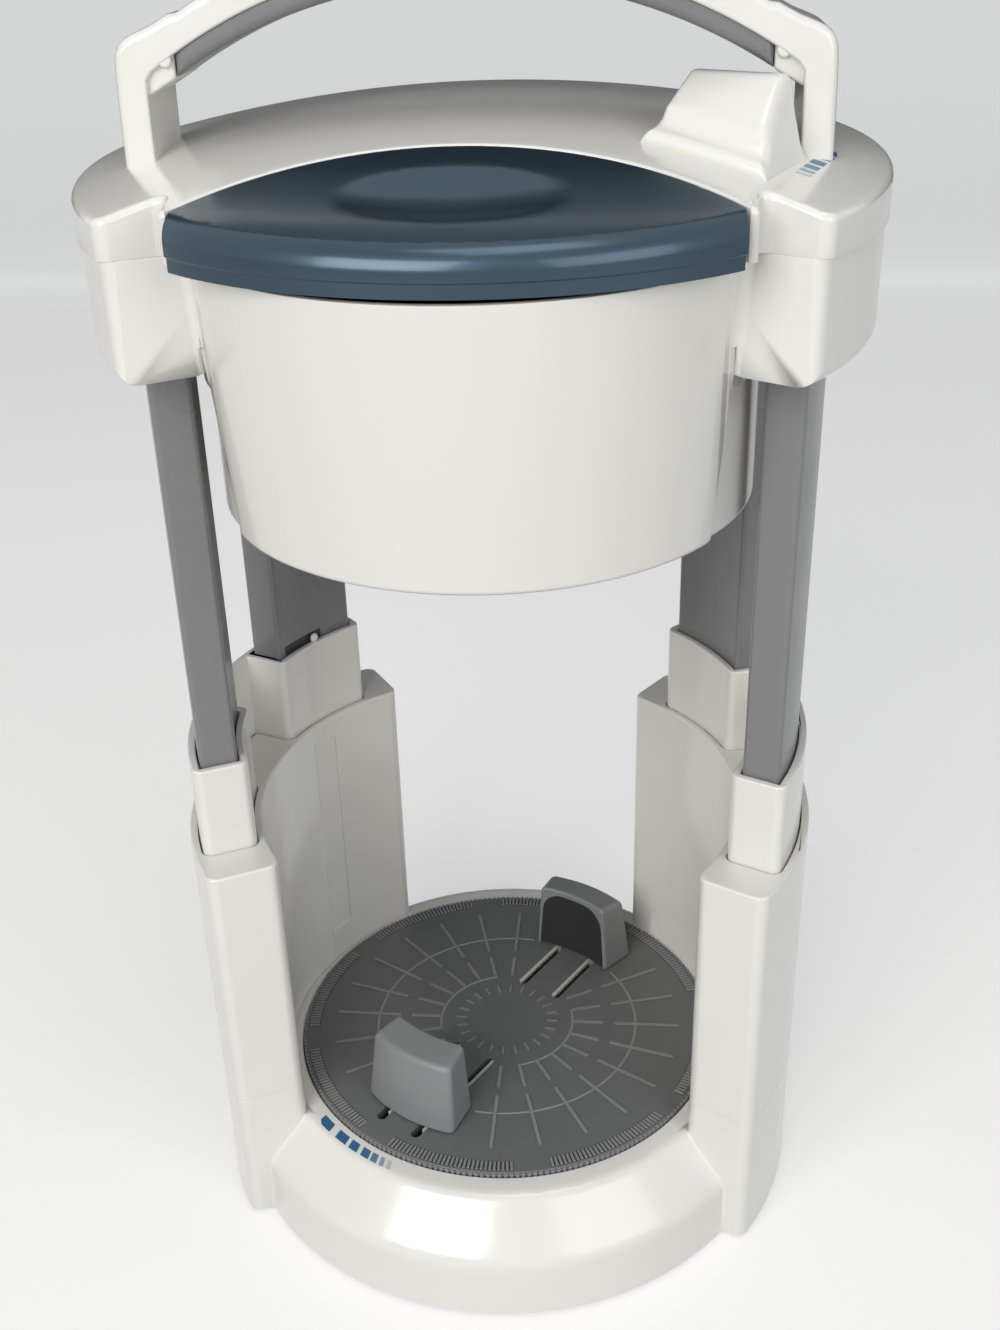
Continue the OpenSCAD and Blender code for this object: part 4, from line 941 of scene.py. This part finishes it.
def ticks_and_beds():
    beds, ticks = bmesh.new(), bmesh.new()
    half_bed = HALF_GROUP + BED_MARGIN
    for group in range(TICK_GROUPS):
        centre = FIRST_GROUP + 360 / TICK_GROUPS * group
        ring_plate(beds, BED_IN, BED_OUT, centre - half_bed, centre + half_bed, DECK_Z + BED_RISE, 12)
        for number in range(TICKS):
            tick(ticks, centre - HALF_GROUP + number * 2 * HALF_GROUP / (TICKS - 1))
    # The beds are a near-black sheet: painted shade in the gaps between the ticks.
    table_piece(beds, "turntable_tick_gap_shade", tick_gap_shade)
    table_piece(ticks, "turntable_ticks", tick_grey)
    print("ticks:", TICK_GROUPS * TICKS)


ticks_and_beds()

# %% Knurled rim and fine rings
TEETH, TOOTH_OUT, TOOTH_IN, TOOTH_TIP, TOOTH_ROOT, TOOTH_DRAFT = 240, 0.75, 0.9, 1.15, 1.4, 0.1
TOOTH_TOP, TOOTH_FOOT, LEDGE_IN, LEDGE_OUT, LEDGE_DOWN = 0.12, 3.4, 0.4, 0.7, 0.7
# Each ring's radius, and the angle left out on both sides of a jaw's slots.
RINGS = ((48.0, 22), (24.6, 44))
RING_SECTION = ((-0.5, -0.05), (-0.3, 0.18), (0.3, 0.18), (0.5, -0.05))


def knurled_rim():
    """Upright teeth round the rim, with a narrow ledge that closes the gaps between them from above."""
    mesh = bmesh.new()
    for tooth in range(TEETH):
        made = unit_cube(mesh)
        for vert in made:
            out, top = vert.co.x > 0, vert.co.z > 0
            x = TABLE_R + TOOTH_OUT - TOOTH_DRAFT * top if out else TABLE_R - TOOTH_IN
            y = vert.co.y * (TOOTH_TIP if out else TOOTH_ROOT)
            vert.co = Vector((x, y, DECK_Z - (TOOTH_TOP if top else TOOTH_FOOT))) * MM
        turn_verts(mesh, made, tooth * 360 / TEETH)
    ring_plate(mesh, TABLE_R - LEDGE_IN, TABLE_R + LEDGE_OUT, 0, 360, DECK_Z - LEDGE_DOWN, TEETH // 2)
    table_piece(mesh, "turntable_knurling", tick_grey)
    print("knurls:", TEETH)


def fine_rings():
    """Thin raised arcs at two radii, left out where a jaw slides."""
    mesh = bmesh.new()
    for radius, clear in RINGS:
        for side in (0, 180):
            start, end = JAW_AZ + side + clear, JAW_AZ + side + 180 - clear
            profile = [mesh.verts.new(Vector((radius + dr, 0, DECK_Z + dz)) * MM) for dr, dz in RING_SECTION]
            edges = [mesh.edges.new(pair) for pair in zip(profile, profile[1:])]
            turn_verts(mesh, profile, start)
            bmesh.ops.spin(mesh, geom=profile + edges, cent=(0, 0, 0), axis=(0, 0, 1),
                           angle=math.radians(end - start), steps=int((end - start) / 3))
    bmesh.ops.recalc_face_normals(mesh, faces=mesh.faces)
    if sum(f.normal.z for f in mesh.faces) < 0:
        bmesh.ops.reverse_faces(mesh, faces=mesh.faces)
    table_piece(mesh, "turntable_rings", tick_grey, sharp=50)
    print("arcs:", 2 * len(RINGS))


knurled_rim()
fine_rings()

# %% Bar tops and slot rails
RAIL_AT, RAIL_LONG, RAIL_OFF, RAIL_WIDE, RAIL_HIGH, RAIL_DOWN = 40.5, 42, 1.05, 1.25, 1.2, 1.0
TOP_RISE = 0.02


def painted_bar_highlights():
    """The tops of the raised bars, in a grey lighter than the deck: a painted highlight."""
    mesh = bmesh.new()
    solid = NODES["turntable"].data
    for face in solid.polygons:
        corners = [solid.vertices[i].co for i in face.vertices]
        if all(abs(c.z / MM - DECK_Z - BAR_RISE) < 0.02 for c in corners):
            mesh.faces.new([mesh.verts.new(c + Vector((0, 0, TOP_RISE)) * MM) for c in corners])
    bmesh.ops.remove_doubles(mesh, verts=mesh.verts, dist=0.002 * MM)
    bmesh.ops.recalc_face_normals(mesh, faces=mesh.faces)
    for face in mesh.faces:
        if face.normal.z < 0:
            face.normal_flip()
    bars = table_piece(mesh, "turntable_bar_highlights", tick_grey)
    print("bar top faces:", len(bars.data.polygons))


def slot_rails():
    """The sheet-metal rail seen in each slot, beside the jaw's arm, in a light grey that paints its bright
    glint.
    """
    mesh = bmesh.new()
    for side in (0, 180):
        for v in (-SLOT_OFF, SLOT_OFF):
            made = unit_cube(mesh)
            for vert in made:
                x, y = RAIL_AT + vert.co.x * RAIL_LONG, v + RAIL_OFF + vert.co.y * RAIL_WIDE
                vert.co = Vector((x, y, DECK_Z - RAIL_DOWN + vert.co.z * RAIL_HIGH)) * MM
            turn_verts(mesh, made, JAW_AZ + side)
    table_piece(mesh, "turntable_slot_rails", rail_glint_grey)
    print("slot rails: 4")


painted_bar_highlights()
slot_rails()

# %% [markdown]
# ## Printed arrows
# Two arrows of fading blue segments show which way things move: one lies on the flat apron in front of
# the turntable, and a small one on the cover beside the release lever. Each segment is a very thin plate
# of ink, so that it stays sharp at any distance.

# %% Segmented arrows
INKS = [Finish("ink_%d" % step, color, 0.35) for step, color in enumerate([
    (0.022, 0.12, 0.27), (0.022, 0.12, 0.27), (0.028, 0.13, 0.28), (0.04, 0.15, 0.29), (0.09, 0.22, 0.34),
    (0.27, 0.36, 0.42), (0.5, 0.55, 0.56)])]


INK_RISE, INK_CUTS = 0.05, 1.2


def ink_plate(name, finish, corners, height, body):
    """A sheet over corners that floats INK_RISE above the surface height(x, y)."""
    mesh = bmesh.new()
    mesh.faces.new([mesh.verts.new(Vector((x, y, 0)) * MM) for x, y in corners])
    low = [min(c[i] for c in corners) for i in (0, 1)]
    high = [max(c[i] for c in corners) for i in (0, 1)]
    grid_cuts(mesh, INK_CUTS, low, high)
    face_up(mesh)
    for vert in mesh.verts:
        vert.co.z = (height(vert.co.x / MM, vert.co.y / MM) + INK_RISE) * MM
    as_piece(mesh, name, body, finish)


def turn_point(radius, degrees):
    return radius * math.cos(math.radians(degrees)), radius * math.sin(math.radians(degrees))


# %% The arrow on the apron
APRON_OUT, APRON_IN, APRON_LEAN, ARC_POINTS = 81.9, 78.4, 0.9, 5
# Where each segment starts and ends, in degrees round the turntable.
APRON_SEGMENTS = [(-138.3, -133.9), (-131.6, -127.9), (-126.8, -124.1), (-122.9, -120.5), (-119.9, -118.1),
                  (-117.3, -116.1), (-115.3, -114.1)]
for step, (start, end) in enumerate(APRON_SEGMENTS):
    part = (end - start) / (ARC_POINTS - 1)
    outer = [turn_point(APRON_OUT, start + part * k + APRON_LEAN / 2) for k in range(ARC_POINTS)]
    inner = [turn_point(APRON_IN, end - part * k - APRON_LEAN / 2) for k in range(ARC_POINTS)]
    if step == 0:
        # The tip of the arrow is cut off short.
        outer[0] = turn_point(APRON_OUT - 1, start + 0.1)
    ink_plate("apron_arrow_%d" % step, INKS[step], outer + inner, lambda x, y: APRON_TOP, "base")
print("apron arrow segments:", len(APRON_SEGMENTS))

# %% The arrow beside the lever
EAR_HALF_WIDTH = 1.9
# Where each segment starts and ends, as a share of the arrow's length.
EAR_SEGMENTS = [(0.0, 0.055), (0.10, 0.17), (0.22, 0.33), (0.39, 0.53), (0.60, 0.76), (0.83, 1.0)]


def ear_segments():
    """A short arrow along the lever's push direction. Its last segment, the tip, is the darkest."""
    start, end = Vector((84.2, -41.9)), Vector((94.9, -14.8))
    along = (end - start).normalized()
    half = Vector((-along.y, along.x)) * EAR_HALF_WIDTH
    for step, (a, b) in enumerate(EAR_SEGMENTS):
        p, q = start + (end - start) * a, start + (end - start) * b
        is_tip = step == len(EAR_SEGMENTS) - 1
        corners = [p - half, q - half * 0.2 - along * 0.2 if is_tip else q - half, q + half, p + half]
        ink = INKS[0 if is_tip else 6 - step]
        ink_plate("ear_arrow_%d" % step, ink, [tuple(c) for c in corners], crown, "head")
    print("lever arrow segments:", len(EAR_SEGMENTS))


ear_segments()

# %% [markdown]
# ## Strips and pins on the columns
# Inside the left casing a snap-in cover strip runs up the wall, and a small white pin looks out of a
# notch where the rear leg enters its sleeve; the notch's shade is painted as a thin black sheet. The
# strips and that sheet are thin curved plates on the wall's radius, swept round the column's axis.

# %% Curved plates
WALL_R, PLATE_EDGE = 80.05, 0.25


def wall_plate(name, body, finish, radius, thick, span, z0, z1):
    """A plate on the inside of the left column's wall: span is in degrees back from the side's X axis."""
    mesh = bmesh.new()
    inner = radius - thick
    corners = [(radius, z0), (radius, z1), (inner, z1 - PLATE_EDGE), (inner, z0 + PLATE_EDGE)]
    profile = [mesh.verts.new(Vector((r, 0, z)) * MM) for r, z in corners]
    face = mesh.faces.new(profile)
    turn_verts(mesh, profile, span[0])
    steps = max(2, int((span[1] - span[0]) / 2))
    bmesh.ops.spin(mesh, geom=[face] + face.edges[:] + profile, cent=(0, 0, 0), axis=(0, 0, 1),
                   angle=math.radians(span[1] - span[0]), steps=steps)
    bmesh.ops.remove_doubles(mesh, verts=mesh.verts, dist=0.001 * MM)
    for vert in mesh.verts:
        vert.co.x = -vert.co.x
        vert.co.y += COLUMN_Y * MM
    bmesh.ops.recalc_face_normals(mesh, faces=mesh.faces)
    as_piece(mesh, name, body, finish, sharp=30)


for name, thick, span, z0, z1 in (("strip_casing", 0.45, (26.7, 34.0), 53.4, 139.4),
                                  ("strip_tub", 0.45, (26.9, 34.0), 39.2, 52.7),
                                  ("strip_rib", 0.6, (34.5, 36.4), 53.4, 137.0)):
    wall_plate(name, "base", white, WALL_R, thick, span, z0, z1)
# A thin black sheet: the painted shade of the notch where the rear leg enters its sleeve.
wall_plate("notch_painted_shade", "left_column_sleeve", black_plastic, 85.72, 0.12, (24.0, 36.4),
           175.9, 179.2)
print("strips: 3, notch: 1")

# %% Pin
PIN_R, PIN_FLAT, PIN_OUT, PIN_AZ, PIN_Z = 1.7, 0.62, 84.6, 180 - 33.6, 177.3


def leg_pin():
    mesh = bmesh.new()
    bmesh.ops.create_uvsphere(mesh, u_segments=16, v_segments=10, radius=PIN_R * MM)
    bmesh.ops.scale(mesh, vec=(1.0, PIN_FLAT, 1.0), verts=mesh.verts)
    turn = math.radians(PIN_AZ)
    at = Vector((PIN_OUT * math.cos(turn), COLUMN_Y + PIN_OUT * math.sin(turn), PIN_Z)) * MM
    place = Matrix.Translation(at) @ Matrix.Rotation(turn + math.pi / 2, 4, "Z")
    bmesh.ops.transform(mesh, matrix=place, verts=mesh.verts)
    as_piece(mesh, "leg_pin", "left_column_sleeve", white)
    print("pin: 1")


leg_pin()

# %% [markdown]
# ## Floor and light
# A plain pale studio with one large floor. A big soft light stands in front on the left, a weaker one in
# front on the right, and a faint one hangs above, so that the white mouldings keep their shading. A dark
# card behind the model is seen in reflections only, and makes its glossy edges readable. The floor and
# the world show a pale background to the rays that look straight at them, but they light the model only
# weakly.

# %% Lamps
LAMPS = (("key", (-0.6, -1.4, 1.0), (0, 0, 0.2), 1.1, 19.5, (1.0, 0.98, 0.95)),
         ("fill", (1.1, -1.2, 0.8), (0, 0, 0.2), 1.1, 8, (1, 1, 1)),
         ("top", (0.15, -0.25, 1.7), (0, 0, 0.1), 0.7, 3.5, (1, 1, 1)))


def area_light(name, at, target, size, power, color):
    data = bpy.data.lights.new(name, "AREA")
    data.size, data.energy, data.color = size, power, color
    lamp = bpy.data.objects.new(name, data)
    aim = Vector(target) - Vector(at)
    lamp.matrix_world = Matrix.Translation(at) @ aim.to_track_quat("-Z", "Y").to_matrix().to_4x4()
    bpy.context.scene.collection.objects.link(lamp)


for lamp in LAMPS:
    area_light(*lamp)
print("lights:", len(LAMPS))

# %% Floor, world and dark card
FLOOR_HALF, FLOOR_GLOW = 6, (0.46, 0.46, 0.46)
CARD_HALF, CARD_Y, CARD_LOW, CARD_HIGH = 1.6, 1.3, 0.1, 1.9
SEEN_WORLD, LIT_WORLD, LIT_STRENGTH = (0.86, 0.86, 0.86, 1), (0.9, 0.95, 1.0, 1), 0.32


def seen_directly(tree):
    """1 for rays that show the background as it is: those of the camera, of gloss and of glass."""
    path = tree.nodes.new("ShaderNodeLightPath")
    total = path.outputs["Is Camera Ray"]
    for name in ("Is Glossy Ray", "Is Transmission Ray"):
        either = tree.nodes.new("ShaderNodeMath")
        either.operation = "MAXIMUM"
        tree.links.new(total, either.inputs[0])
        tree.links.new(path.outputs[name], either.inputs[1])
        total = either.outputs[0]
    return total


def studio_floor():
    mesh = bmesh.new()
    bmesh.ops.create_grid(mesh, x_segments=1, y_segments=1, size=FLOOR_HALF)
    paper = Finish("floor_paper", (0.52, 0.515, 0.505), 0.9, Emission_Strength=1)
    seen = Value(paper, seen_directly(paper.tree))
    paper.feed("Emission Color", paper.mix(seen, (0, 0, 0), FLOOR_GLOW))
    as_object(mesh, "floor", paper)


def studio_world():
    world = bpy.data.worlds.new("studio")
    bpy.context.scene.world = world
    world.use_nodes = True
    tree = world.node_tree
    tree.nodes.clear()
    seen = tree.nodes.new("ShaderNodeBackground")
    lit = tree.nodes.new("ShaderNodeBackground")
    seen.inputs["Color"].default_value = SEEN_WORLD
    lit.inputs["Color"].default_value = LIT_WORLD
    lit.inputs["Strength"].default_value = LIT_STRENGTH
    mix = tree.nodes.new("ShaderNodeMixShader")
    out = tree.nodes.new("ShaderNodeOutputWorld")
    tree.links.new(seen_directly(tree), mix.inputs[0])
    tree.links.new(lit.outputs[0], mix.inputs[1])
    tree.links.new(seen.outputs[0], mix.inputs[2])
    tree.links.new(mix.outputs[0], out.inputs[0])


def dark_card():
    """A card behind the model that only reflections see."""
    mesh = bmesh.new()
    corners = ((-CARD_HALF, CARD_Y, CARD_LOW), (CARD_HALF, CARD_Y, CARD_LOW),
               (CARD_HALF, CARD_Y, CARD_HIGH), (-CARD_HALF, CARD_Y, CARD_HIGH))
    mesh.faces.new([mesh.verts.new(c) for c in corners])
    card = as_object(mesh, "dark_card", Finish("dark_card", (0.015, 0.015, 0.018), 0.9))
    card.visible_camera = card.visible_shadow = card.visible_transmission = False


studio_floor()
dark_card()
studio_world()
bpy.context.scene.view_settings.view_transform = "Standard"
print("studio ready")
